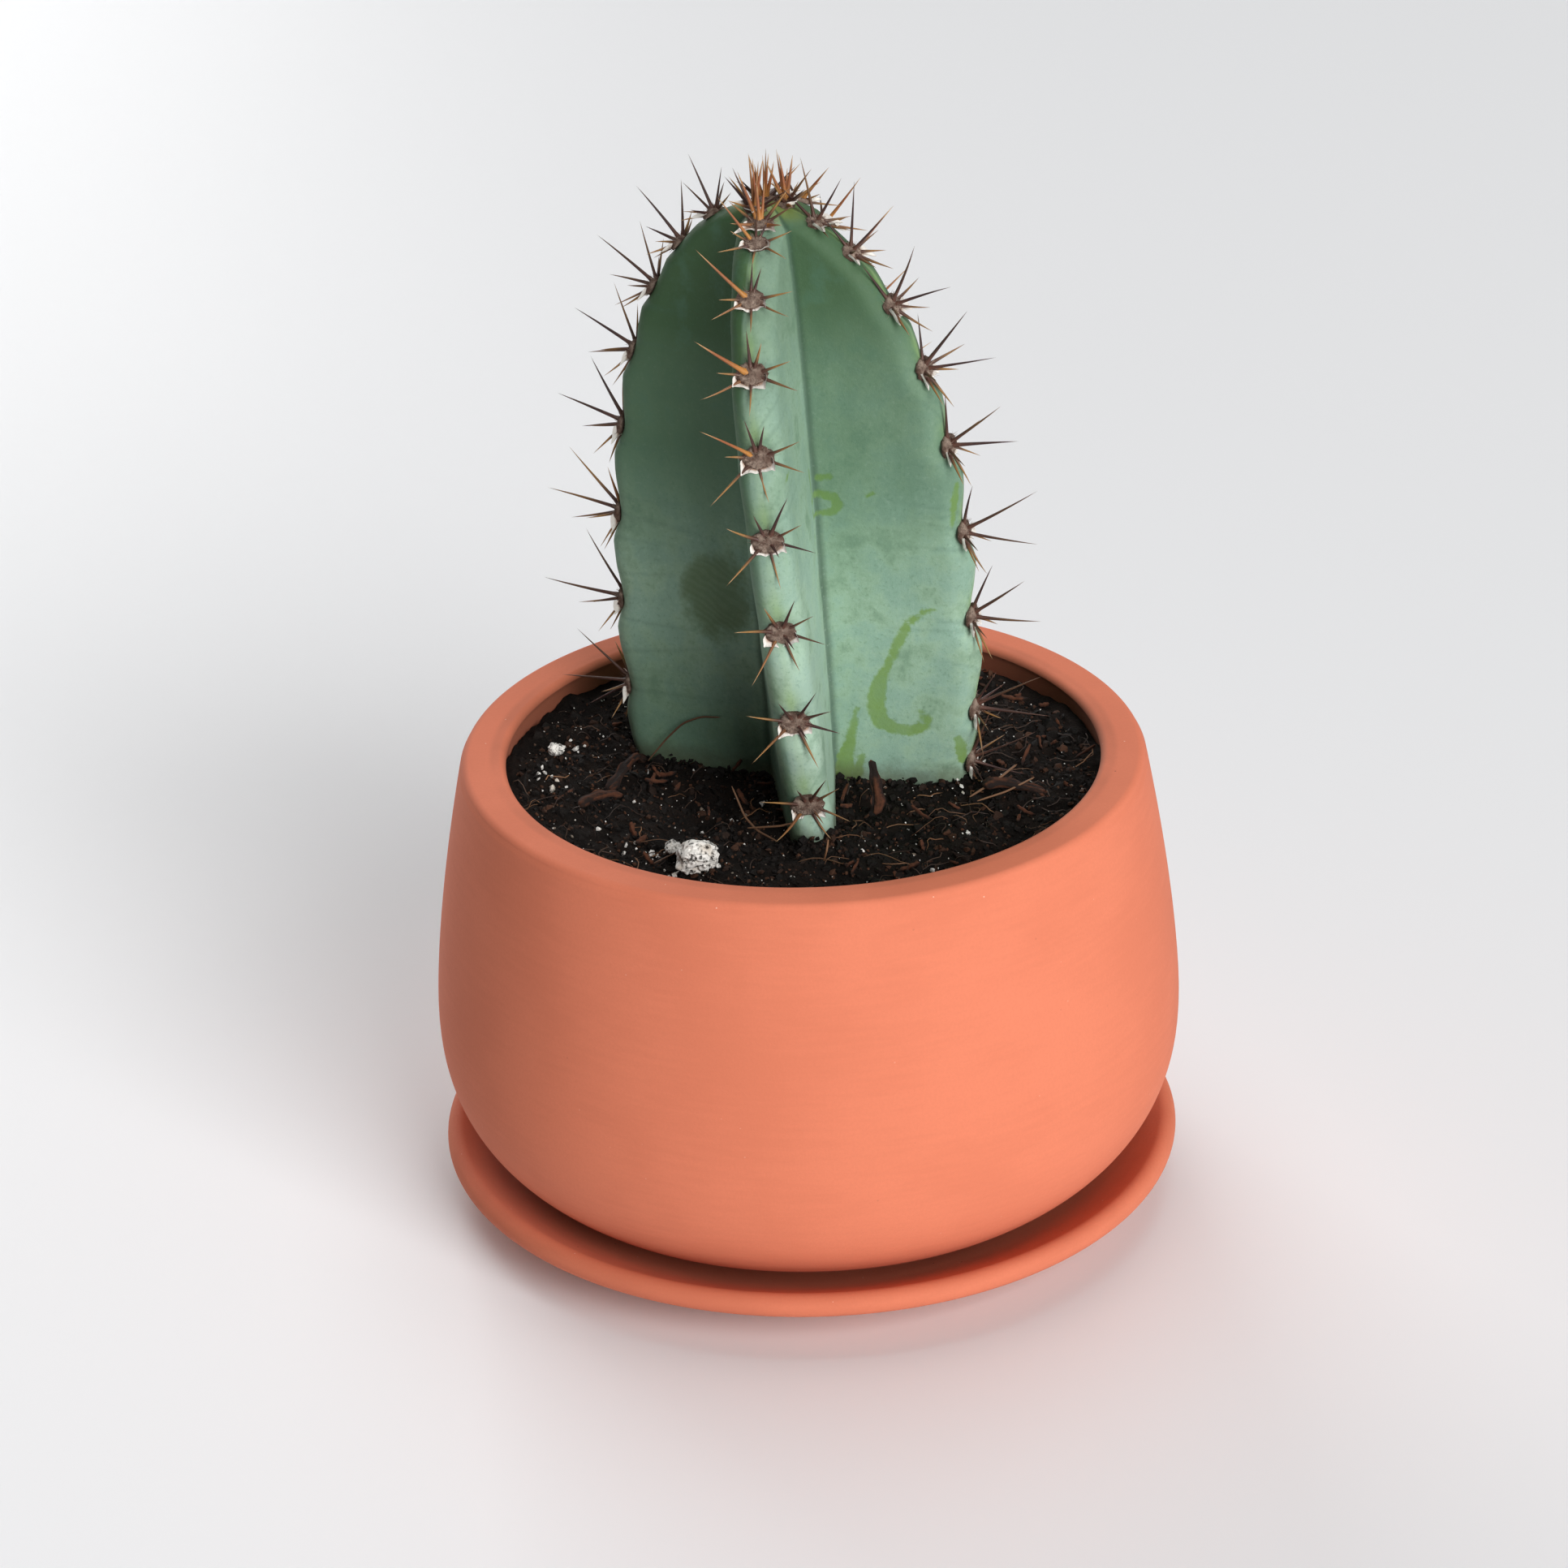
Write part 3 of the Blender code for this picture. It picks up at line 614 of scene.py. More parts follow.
def on_soil(count, draw, sink, crowd=0.0):
    """Random places on the open soil. crowd is the share that are only kept
    where a slow random field is high, so that they gather."""
    spots = np.empty((0, 2))
    tries = 4 * count
    while len(spots) < count:
        r = (POT_MOUTH - EDGE_MARGIN) * np.sqrt(draw.uniform(0, 1, tries))
        turn = draw.uniform(0, 2 * np.pi, tries)
        x, y = r * np.cos(turn), r * np.sin(turn)
        dx, dy = x - centre[0], y - centre[1]
        nearest = stem_radius(np.arctan2(dy, dx), np.full(tries, SOIL_HEIGHT)) + STEM_MARGIN
        field = rough(np.stack([x, y, 0 * x], axis=-1), 0.011, 21)
        clear = field > np.where(draw.uniform(0, 1, tries) < crowd, 0.15, -2)
        clear &= np.hypot(dx, dy) > nearest
        spots = np.vstack([spots, np.stack([x, y], axis=-1)[clear]])
    x, y = spots[:count].T
    return np.stack([x, y, soil_level(x, y) - sink], axis=-1)


def by_stem(count, draw, spread, rise):
    """Random places in a ring of soil pushed up against the stem's foot."""
    turn = draw.uniform(0, 2 * np.pi, count)
    off = np.abs(draw.normal(0, spread, count))
    radius = stem_radius(turn, np.full(count, SOIL_HEIGHT)) + off
    x, y = centre[0] + radius * np.cos(turn), centre[1] + radius * np.sin(turn)
    lift = rise * draw.uniform(0, 1, count) * np.exp(-off / spread)
    return np.stack([x, y, soil_level(x, y) + lift], axis=-1)


def shaded(places, sizes, flatness, brightest, rareness, draw):
    """Crumbs of random sizes between two, and of random tones: brightest times
    a share from 0 to 1 to the power rareness."""
    count = len(places)
    radii = draw.uniform(*sizes, count)
    tone = brightest * draw.uniform(0, 1, count) ** rareness
    return crumbs(places, radii, flatness, draw, tone=tone)


draw = np.random.default_rng(31)
fine = shaded(on_soil(5200, draw, -0.0001), (0.00025, 0.0006), 0.5, 1.0, 3.0, draw)
coarse = shaded(on_soil(1900, draw, 0.0, 0.4), (0.0006, 0.0015), 0.35, 0.7, 3.0, draw)
clods = shaded(on_soil(150, draw, 0.0003, 0.7), (0.0014, 0.0026), 0.4, 0.35, 2.0, draw)
banked = shaded(by_stem(760, draw, 0.0018, 0.0014), (0.0003, 0.0015), 0.4, 0.6, 2.5, draw)

crumb = Finish("peat_crumbs", Specular_IOR_Level=0.22)
crumb_grain = crumb.noise(0.0005, 3.0)
crumb_shade = crumb.value("tone")
crumb.paint((0.0062, 0.0044, 0.0035),
            (crumb_shade.step(0.15, 0.85), (0.080, 0.034, 0.018)),
            (crumb_shade.step(0.90, 0.99), (0.200, 0.165, 0.130)),
            (crumb_grain.step(0.55, 0.80) * 0.25, (0.090, 0.058, 0.038)))
crumb.feed("Roughness", 0.95 - 0.25 * crumb_grain)
crumb.bump(crumb_grain, 0.0003)
add_piece("soil_crumbs", [fine, coarse, clods, banked], [crumb], sharp=30)

draw = np.random.default_rng(32)
dust = crumbs(on_soil(420, draw, -0.0004, 0.2), draw.uniform(0.00012, 0.00027, 420), 0.5, draw)
grains = crumbs(on_soil(40, draw, -0.0006, 0.7), draw.uniform(0.0003, 0.0008, 40), 0.5, draw)
GRAIN_CLUSTERS = (               # x, y, spread, count: where perlite lies together
    (-0.0490, 0.0130, 0.0035, 7), (-0.0520, -0.0015, 0.0040, 9), (-0.0350, -0.0330, 0.0020, 3),
    (-0.0305, -0.0355, 0.0022, 6), (-0.0250, -0.0425, 0.0025, 7), (0.0345, -0.0300, 0.0015, 2),
)
near = np.concatenate([np.tile((x, y, s), (n, 1)) for x, y, s, n in GRAIN_CLUSTERS])
near_x, near_y = near[:, :2].T + near[:, 2] * draw.normal(0, 0.6, (2, len(near)))
places = np.stack([near_x, near_y, soil_level(near_x, near_y) + 0.0005], axis=-1)
clustered = crumbs(places, draw.uniform(0.0003, 0.00095, len(near)), 0.45, draw)


# Blown volcanic glass: chalky white, with dark pits and a little dirt.
perlite = Finish("perlite", Specular_IOR_Level=0.3)
pits = perlite.noise(0.0011, 4.0, roughness=0.7)
dirt = perlite.noise(0.0040, 3.0)
perlite.paint((0.80, 0.77, 0.72),
              (dirt.step(0.50, 0.75) * 0.6, (0.42, 0.33, 0.23)),
              (pits.step(0.55, 0.63), (0.050, 0.036, 0.027)))
perlite.feed("Roughness", 0.80 + 0.15 * dirt)
perlite.bump(1 - pits.step(0.50, 0.72), 0.0006)
add_piece("perlite_grains", [dust, grains, clustered], [perlite], sharp=35)


def tube(path, radius, sides, **values):
    """A round rod along a path of points: at each one but the last a ring of
    that radius, square to the path. Both ends are closed by the path's own
    end points."""
    path = np.asarray(path, float)
    ahead = np.gradient(path, axis=0)
    ahead /= np.linalg.norm(ahead, axis=1)[:, None]
    least = np.eye(3)[np.abs(ahead).mean(axis=0).argmin()]
    side = np.cross(ahead, least)
    side /= np.linalg.norm(side, axis=1)[:, None]
    other = np.cross(ahead, side)
    turn = np.linspace(0, 2 * np.pi, sides, endpoint=False)[:, None]
    radius = np.broadcast_to(radius, len(path))[:, None, None]
    ring = np.cos(turn) * side[:, None, :] + np.sin(turn) * other[:, None, :]
    kept = {key: np.asarray(value)[:-1, None] for key, value in values.items()}
    grid = path[:, None, :] + radius * ring
    return shell(grid[:-1], foot=path[0], tip=path[-1], **kept)


FIBRE_POINTS = 7


def fibre(place, turn, length, arch, wander, thickness, tone, draw):
    """A root fibre: it runs on in a direction that wanders, and arches up in
    the middle by arch sin(pi u)."""
    u = np.linspace(0, 1, FIBRE_POINTS)
    heading = turn + wander * np.sin(2.4 * np.pi * u + draw.uniform(0, 6))
    step = length / (FIBRE_POINTS - 1)
    x = place[0] + np.cumsum(step * np.cos(heading))
    y = place[1] + np.cumsum(step * np.sin(heading))
    keep = np.minimum(1, (POT_MOUTH - 0.0012) / np.hypot(x, y))
    z = soil_level(x * keep, y * keep) + 0.0002 + arch * np.sin(np.pi * u)
    path = np.stack([x * keep, y * keep, z], axis=1)
    return tube(path, thickness, sides=3, tone=np.full(FIBRE_POINTS, tone))


draw = np.random.default_rng(33)
fibres = [
    fibre(place, draw.uniform(0, 6.3), draw.uniform(0.003, 0.011), draw.uniform(0, 0.0016),
          draw.uniform(0.1, 0.9), draw.uniform(0.00006, 0.00014), draw.uniform(0, 1), draw)
    for place in on_soil(230, draw, 0.0)
]
root = Finish("root_fibre", Roughness=0.7)
root_streak = root.noise(0.0009, 2.0)
root.paint((0.020, 0.010, 0.006),
           (root.value("tone") ** 4, (0.30, 0.14, 0.06)),
           (root_streak * 0.5, (0.06, 0.03, 0.018)))
root.bump(root_streak, 0.0001)
add_piece("root_fibres", fibres, [root], sharp=80)

# ================================================================ stem
# One column of living tissue with four ribs that wind slowly. The skin is
# leathery and blue-green under a pale waxy bloom, which is rubbed off in
# places. The tip is younger: greener, without bloom.
STEM_STEPS = 82                  # columns from one crest to the next
BODY_ROWS = 196
DOME_ROWS = 48
DOME_START = 0.190
FLESH_YOUNG = (0.048, 0.106, 0.042)      # skin without bloom, at the tip and below
FLESH_OLD = (0.064, 0.146, 0.076)
BLOOM_DULL = (0.270, 0.420, 0.328)
BLOOM_BRIGHT = (0.338, 0.492, 0.346)
body_levels = np.linspace(SOIL_HEIGHT - 0.0010, DOME_START, BODY_ROWS)
rising = 1 - (1 - np.linspace(0, 1, DOME_ROWS)[1:-1]) ** 2
dome_levels = DOME_START + (STEM_TOP - DOME_START) * rising
stem_levels = np.concatenate([foot_levels, body_levels, dome_levels])
stem = stem_grid(stem_levels, STEM_STEPS)

sector_share = np.tile(np.arange(STEM_STEPS) / STEM_STEPS, 4)
valley = 1 - np.abs(1 - 2 * sector_share)         # 0 on a crest, 1 in a valley


def stem_point(rib, share, height):
    """The point on the surface at a share of the way from one rib's crest to
    the next one anticlockwise, at a height."""
    names = list(RIBS)
    start = rib_azimuth(rib, height)
    after = rib_azimuth(names[(names.index(rib) + 1) % 4], height)
    sector = (after - start) % (2 * np.pi)
    turn = start + sector * crowded(share)
    radius = stem_radius(turn, height)
    x, y = stem_axis(height)
    return np.stack([x + radius * np.cos(turn), y + radius * np.sin(turn), height], axis=-1)


def creases():
    """How deep the skin folds at each point, 0 to 1: fine wrinkles that start
    at every areole, run across the flank and fade out before the valley."""
    depth = np.zeros(stem.shape[:2])
    height = stem[..., 2]
    draw = np.random.default_rng(41)
    for number, (rib, (_, levels)) in enumerate(RIBS.items()):
        column = np.arange(4 * STEM_STEPS) - number * STEM_STEPS
        across = ((column / STEM_STEPS + 2) % 4 - 2)[None, :]
        for level in np.array(levels) / 1000:
            for rise in draw.normal(0, 0.0030, 5):
                tilt = draw.uniform(-0.006, 0.034)
                reach = draw.uniform(0.10, 0.33)
                waver = 0.0005 * np.sin(across * draw.uniform(9, 16) + draw.uniform(0, 6))
                line = level + rise + tilt * np.abs(across) + waver
                fold = np.exp(-((height - line) / 0.00042) ** 2)
                fade = np.clip(1 - np.abs(across) / reach, 0, 1) ** 0.7
                depth = np.maximum(depth, fold * fade * smoothly(0.02, 0.10, np.abs(across)))
    return depth


crease = creases()
swelling = 0.00035 * rough(stem, 0.011, 42) + 0.00010 * rough(stem, 0.0035, 43)
quiet = smoothly(SOIL_HEIGHT, SOIL_HEIGHT + 0.004, stem[..., 2])
turn = stem_turns(stem_levels, STEM_STEPS)
push = (quiet * (swelling - 0.00008 * crease))[..., None]
stem = stem + push * np.stack([np.cos(turn), np.sin(turn), 0 * turn], axis=-1)

RUBS = (                         # rib, then (share, height, half width) in mm along the mark
    ("front", ((0.775, 133.6, 0.4), (0.758, 132.6, 0.6), (0.742, 130.8, 0.8), (0.727, 128.0, 1.1),
               (0.712, 124.6, 1.1), (0.697, 121.0, 0.8), (0.684, 118.0, 1.0), (0.672, 114.6, 1.7),
               (0.666, 110.6, 2.0), (0.674, 107.4, 1.8), (0.696, 105.8, 1.4), (0.724, 105.2, 1.2),
               (0.748, 106.2, 1.0), (0.758, 108.2, 0.6), (0.762, 109.4, 0.3))),
    ("front", ((0.752, 107.0, 0.8), (0.748, 109.0, 0.6), (0.742, 110.2, 0.3))),
    ("front", ((0.450, 157.4, 0.4), (0.545, 157.6, 0.8), (0.592, 157.0, 1.1), (0.604, 155.6, 1.1),
               (0.592, 154.0, 0.9), (0.545, 153.3, 0.7), (0.450, 153.5, 0.4))),
    ("front", ((0.530, 161.0, 0.7), (0.580, 161.4, 0.7))),
    ("front", ((0.215, 170.0, 0.3), (0.240, 170.6, 0.4))),
    ("front", ((0.430, 148.0, 0.3), (0.440, 160.0, 0.4), (0.425, 164.0, 0.3))),
    ("front", ((0.680, 157.8, 0.4), (0.700, 158.8, 0.3))),
    ("front", ((0.530, 90.0, 2.0), (0.555, 97.0, 1.7), (0.590, 104.0, 1.0), (0.615, 110.0, 0.3))),
    ("front", ((0.590, 92.0, 1.1), (0.606, 95.6, 1.1), (0.624, 99.2, 0.4))),
    ("front", ((0.230, 97.0, 0.4), (0.214, 107.0, 0.3))),
    ("front", ((0.836, 152.0, 0.5), (0.852, 157.3, 1.1), (0.872, 161.0, 0.6))),
    ("front", ((0.790, 104.4, 0.5), (0.800, 102.6, 1.0), (0.815, 100.4, 1.3), (0.838, 98.0, 0.9))),
)


def inside_rubs(points):
    """Millimetres inside the nearest rub mark, negative outside: the mark's
    half width less the distance to its centre line."""
    best = np.full(points.shape[:2], -50.0)
    for rib, line in RUBS:
        share, height, half = np.array(line).T
        t = np.linspace(0, len(line) - 1, 16 * len(line))
        share, height, half = (np.interp(t, range(len(line)), v) for v in (share, height, half))
        marks = stem_point(rib, share, height / 1000)
        for mark, width in zip(marks, half):
            away = np.linalg.norm(points - mark, axis=-1) * 1000
            best = np.maximum(best, width - away)
    return best


def fresh_growth():
    """How yellow-green the skin is, 0 to 1: a soft patch on the crest above
    each areole, as wide as the cushion."""
    fresh = np.zeros(stem.shape[:2])
    column = np.arange(4 * STEM_STEPS)
    for number, (rib, (_, levels)) in enumerate(RIBS.items()):
        across = (column / STEM_STEPS - number + 2) % 4 - 2
        wide = np.exp(-(across / 0.10) ** 2)
        for level in np.array(levels) / 1000:
            rise = (stem[..., 2] - level - 0.0042) / 0.0034
            fresh = np.maximum(fresh, np.exp(-rise ** 2) * wide)
    return fresh


FLANK_LIGHT_AND_SHADE = (                  # painted light and shade on each flank: from each crest to the valley, and on to the next crest
    (0.08, 0.0), (0.0, 0.05), (-0.24, -0.20), (0.27, 0.0),
)


def flank_light_and_shade():
    """Painted light and shade, added to the bloom's level on most of the stem:
    more on the lit flank of the front rib, less on the shaded left face. Each
    flank has its own value, which changes at the valley, and the front crest
    has that of its lighter flank. Near the soil on the left it is less still:
    painted shade."""
    share = sector_share[:STEM_STEPS]
    row = np.concatenate([before + (after - before) * smoothly(0.490, 0.510, share)
                          for before, after in FLANK_LIGHT_AND_SHADE])
    left = slice(2 * STEM_STEPS, 3 * STEM_STEPS)
    row[left] += (row[3 * STEM_STEPS] - row[left]) * smoothly(0.865, 0.930, share)
    # painted shade: the shaded left face darker still towards the soil
    shade_near_soil = 0.35 * smoothly(0.125, 0.098, stem[..., 2])
    return row - shade_near_soil * (row < 0)


def handled_patch():
    """Millimetres inside the patch on the left face whose bloom was taken off
    by a thumb: an ellipse 20 mm high and 16 mm wide."""
    middle = stem_point("left", 0.310, np.array(0.1320))
    local = (stem - middle) / (0.0082, 0.0082, 0.0105)
    return 8.0 * (1 - np.linalg.norm(local, axis=-1))


def skin_finish():
    """Living skin: green flesh under a pale bloom that is thick low down, thin
    at the tip, worn off in marks, and broken by clouds, folds and specks.
    Painted light makes the bloom thicker and paler on the front rib's lit
    flank and thinner on the shaded left face, and painted shade darkens the
    folds and the bottom of each valley."""
    skin = Finish("stem_skin", Specular_IOR_Level=0.34)
    height = skin.height()
    in_valley = skin.value("valley")
    # painted light and shade for each flank, added to the bloom
    thick = skin.value("thick")
    cloud = skin.noise(0.0150, 4.0)
    mottle = skin.noise(0.0048, 6.0, roughness=0.68)
    blotch = skin.noise(0.0080, 5.0, roughness=0.62)
    speckle = skin.noise(0.0008, 3.0, roughness=0.7)
    streak = skin.noise(0.0042, 4.0, stretch=(1.0, 1.0, 0.14))
    ragged = skin.value("rub") + 1.8 * (skin.noise(0.0016, 5.0, roughness=0.65) - 0.5)
    rubbed = ragged.step(-0.35, 0.35) * (0.55 + 0.6 * mottle)
    thumbed = (skin.value("thumb") + 9 * (mottle - 0.5)).step(-1.0, 3.0)
    lines = skin.node("TexWave", {"bands_direction": "DIAGONAL"},
                      {"Vector": skin.place, "Scale": 360.0, "Distortion": 16.0, "Detail": 2.0,
                       "Detail Scale": 0.25}, "Fac")
    # the bloom: thicker low down, with the painted flank light and shade added
    bloom_and_flank_light = 0.06 + 0.30 * height.step(0.204, 0.176) + 0.60 * height.step(0.166, 0.128) + thick
    bloom_and_flank_light = bloom_and_flank_light * (0.58 + 0.42 * cloud + 0.42 * mottle) * (0.80 + 0.40 * streak)
    bloom_and_flank_light = bloom_and_flank_light * (1 - thumbed * (0.46 + 0.16 * lines.step(0.35, 0.65)))
    # painted highlight: paler where the painted flank light is high, mostly on the front rib's lit
    # flank, more so low down
    pale = thick.step(0.05, 0.27) * (0.18 + 0.56 * mottle)
    pale = pale * (0.30 + 0.54 * height.step(0.158, 0.112))
    fresh = skin.value("fresh") * (0.30 + 0.80 * mottle)
    dusty = (height + 0.006 * (mottle - 0.5)).step(0.0990, 0.0935)
    skin.paint(
        skin.mix(height.step(0.205, 0.135), FLESH_YOUNG, FLESH_OLD),
        (bloom_and_flank_light, skin.mix(blotch.step(0.38, 0.64), BLOOM_DULL, BLOOM_BRIGHT)),
        (pale, (0.430, 0.570, 0.470)),
        (in_valley.step(0.12, 0.03) * 0.22, (0.350, 0.480, 0.300)),
        (blotch.step(0.50, 0.70) * 0.48, (0.076, 0.165, 0.108)),
        (fresh * 0.62, (0.245, 0.395, 0.105)),
        (height.step(0.2128, 0.2155) * 0.55, (0.280, 0.340, 0.060)),
        # painted shade: a dark line down the bottom of each valley
        (in_valley.step(0.90, 0.99) * 0.72, (0.022, 0.058, 0.032)),
        # painted shade in the skin's fine folds
        (skin.value("crease") * 0.46, (0.060, 0.130, 0.094)),
        (speckle.step(0.53, 0.72) * 0.30, (0.072, 0.150, 0.088)),
        (speckle.step(0.44, 0.28) * 0.26 * bloom_and_flank_light, (0.420, 0.540, 0.440)),
        (thumbed * 0.44, (0.096, 0.128, 0.040)),
        (rubbed * 0.90, skin.mix(bloom_and_flank_light, (0.092, 0.190, 0.040), (0.172, 0.292, 0.060))),
        (dusty * 0.60, (0.070, 0.062, 0.030)))
    skin.feed("Roughness", 0.62 - 0.14 * rubbed + 0.12 * speckle)
    skin.bump(0.50 * speckle + 0.70 * mottle + 0.3 * blotch - 0.25 * rubbed, 0.00013)
    return skin


stem_foot = (*stem_axis(STEM_BOTTOM), STEM_BOTTOM - 0.0005)
stem_tip = (*stem_axis(STEM_TOP), STEM_TOP)
add_piece(
    "stem_column",
    [shell(stem, foot=stem_foot, tip=stem_tip, valley=valley, crease=crease,
           rub=inside_rubs(stem), fresh=fresh_growth(), thumb=handled_patch(),
           thick=flank_light_and_shade())],
    [skin_finish()], ["cactus_stem"], sharp=70)

# ================================================================ areoles
# A felted wool cushion on the rib's crest, with a papery scale torn open under
# it and eight stiff spines growing out of it, dark at the tip and often golden
# where they are young. Each cluster comes off the stem in one piece.
PAD_WIDTH = 0.0033               # half width and half height of a cushion
PAD_HEIGHT = 0.0024
PAD_RISE = 0.0012
HAIRS = 56                       # loose hairs on each cushion
SPINE_RADIUS = 0.00041
SPINE_TEMPLATES = {
    # angle round the pad from its right-hand side, lift off the skin (both in
    # degrees), length in mm, and tone: 0 is near black and 1 golden orange
    "front": (
        (141, 40, 15.5, 0.95), (92, 24, 8.5, 0.15), (68, 26, 6.5, 0.25), (14, 18, 8.5, 0.45),
        (-27, 12, 9.0, 0.30), (-84, 16, 8.0, 0.50), (213, 14, 10.5, 0.62), (172, 24, 5.5, 0.50)),
    "front_low": (
        (150, 26, 9.0, 0.50), (104, 30, 7.5, 0.15), (66, 30, 11.0, 0.10), (28, 22, 7.5, 0.30),
        (-16, 14, 8.5, 0.15), (-74, 18, 8.5, 0.40), (226, 16, 10.0, 0.65), (-40, 60, 5.0, 0.10)),
    "right": (
        (92, 58, 17.0, 0.22), (-88, 84, 13.5, 0.12), (-92, 22, 9.5, 0.40), (98, 16, 11.0, 0.12),
        (184, 34, 9.0, 0.20), (226, 24, 8.0, 0.40), (2, 28, 9.0, 0.30), (-45, 22, 8.0, 0.40)),
    "left": (
        (88, 80, 16.5, 0.14), (92, 42, 14.5, 0.20), (-90, 70, 10.5, 0.30), (86, 14, 8.5, 0.55),
        (-92, 22, 9.0, 0.60), (0, 28, 8.0, 0.30), (-48, 22, 8.0, 0.45), (182, 28, 9.0, 0.30)),
}
SPINE_TEMPLATES["back"] = SPINE_TEMPLATES["front"]
LOW_AREOLES = 4                  # those of the front rib with shorter spines


def crest_frame(rib, height):
    """Point on a notched crest, with its outward, upward and side directions.
    Up is along the crest, and side is level with the ground."""
    level = np.array([height - 0.0005, height, height + 0.0005])
    reach = crest_reach(level) - notch(rib, np.full(3, height))
    azimuth = rib_azimuth(rib, level)
    x, y = stem_axis(level)
    line = np.stack([x + reach * np.cos(azimuth), y + reach * np.sin(azimuth), level], axis=-1)
    up = line[2] - line[0]
    up /= np.linalg.norm(up)
    side = np.array([-np.sin(azimuth[1]), np.cos(azimuth[1]), 0])
    out = np.cross(side, up)
    out /= np.linalg.norm(out)
    return line[1], out, up, np.cross(up, out)


def wool_pad(origin, axes, size, draw):
    """A domed cushion: an ellipse that shrinks by cos v while it rises by
    sin v, lumpy with felted wool."""
    v = np.linspace(-0.35, np.pi / 2, 9)[:-1, None]
    turn = np.linspace(0, 2 * np.pi, 20, endpoint=False)[None, :]
    across = size * PAD_WIDTH * np.cos(v) * np.cos(turn)
    along = size * PAD_HEIGHT * np.cos(v) * np.sin(turn)
    rise = size * PAD_RISE * np.sin(v) + 0 * turn
    local = np.stack([across, along, rise], axis=-1)
    local = local * (1 + 0.17 * rough(local + draw.uniform(0, 1), 0.0006, 51))[..., None]
    grid = origin + local @ axes
    return shell(grid, foot=grid[0].mean(axis=0), tip=origin + size * PAD_RISE * axes[2],
                 tone=0.5 + 0.5 * rough(local, 0.0008, 52))


def wool_hairs(origin, axes, size, count, draw):
    """Short curled hairs that stand out of the cushion on all sides."""
    hairs = []
    for turn, v, length in zip(draw.uniform(0, 2 * np.pi, count), draw.uniform(0.0, 1.3, count),
                               draw.uniform(0.0006, 0.0014, count)):
        way = np.array([np.cos(v) * np.cos(turn), np.cos(v) * np.sin(turn), np.sin(v)])
        root = way * size * (PAD_WIDTH, PAD_HEIGHT, PAD_RISE) * 0.9
        bend = draw.normal(0, 0.35, 3) * length
        u = np.linspace(0, 1, 4)[:, None]
        path = root + way * length * u + bend * u ** 2
        taper = 0.00005 * (1.15 - u[:, 0])
        hairs.append((*tube(origin + path @ axes, taper, sides=3,
                            tone=np.full(4, draw.uniform(0.3, 1.3))), 0))
    return hairs


def torn_scale(origin, axes, size, draw, torn=1.0):
    """The papery scale under the cushion: a strip that hugs its lower edge,
    drawn out to a hanging point near each end, where it is torn. Its section
    is a thin loop from the inner edge out and back. torn is how far the points
    hang, times their usual length."""
    u = np.linspace(0, 1, 61)[:, None]
    turn = np.radians(180 + 180 * u)
    left, right = torn * draw.uniform(0.8, 1.5, 2) * (1 + 1.2 * (1 - size))
    first, second = draw.uniform(0.14, 0.24), draw.uniform(0.72, 0.88)
    points = (left * np.exp(-np.abs((u - first) / 0.075) ** 1.4)
              + right * np.exp(-np.abs((u - second) / 0.065) ** 1.4))
    ends = np.clip(np.sin(np.pi * u), 0, 1) ** 0.5
    width = (0.00062 + 0.00125 * points + 0.00012 * np.sin(31 * u)) * ends + 0.00008
    loop = np.linspace(0, 2 * np.pi, 10, endpoint=False)[None, :]
    far = (1 - np.cos(loop)) / 2
    hang = np.radians(np.where(u < 0.5, 236, 304))
    drop = 0.75 * smoothly(0.2, 1.2, points)
    lean_x = drop * (np.cos(hang) - np.cos(turn))
    lean_y = drop * (np.sin(hang) - np.sin(turn))
    across = size * PAD_WIDTH * 0.88 * np.cos(turn) + width * far * (np.cos(turn) + lean_x)
    along = size * PAD_HEIGHT * 0.88 * np.sin(turn) + width * far * (np.sin(turn) + lean_y)
    curl = 0.0006 * far ** 2 * (draw.uniform(0.4, 1.4) + 0.5 * np.sin(9 * u))
    rise = 0.00035 + 0.00007 * np.sin(loop) + curl
    grid = origin + np.stack([across, along, rise], axis=-1) @ axes
    return shell(grid, foot=grid[0].mean(axis=0), tip=grid[-1].mean(axis=0), tone=1 - far + 0 * u)


def spine(root, way, bend, length, radius, tone):
    """A stiff needle: from its root along a way with a slight bend that grows
    with the square of the distance. The radius falls as (1 - u) to the power
    0.8, from a swollen base."""
    u = np.linspace(0, 1, 9)
    path = root + length * (u[:, None] * way + (u ** 2)[:, None] * bend)
    girth = radius * (1 - u) ** 0.8 * (1 + 0.5 * np.exp(-(u / 0.05) ** 2))
    return tube(path, girth, sides=6, along=u, tone=np.full(9, tone))


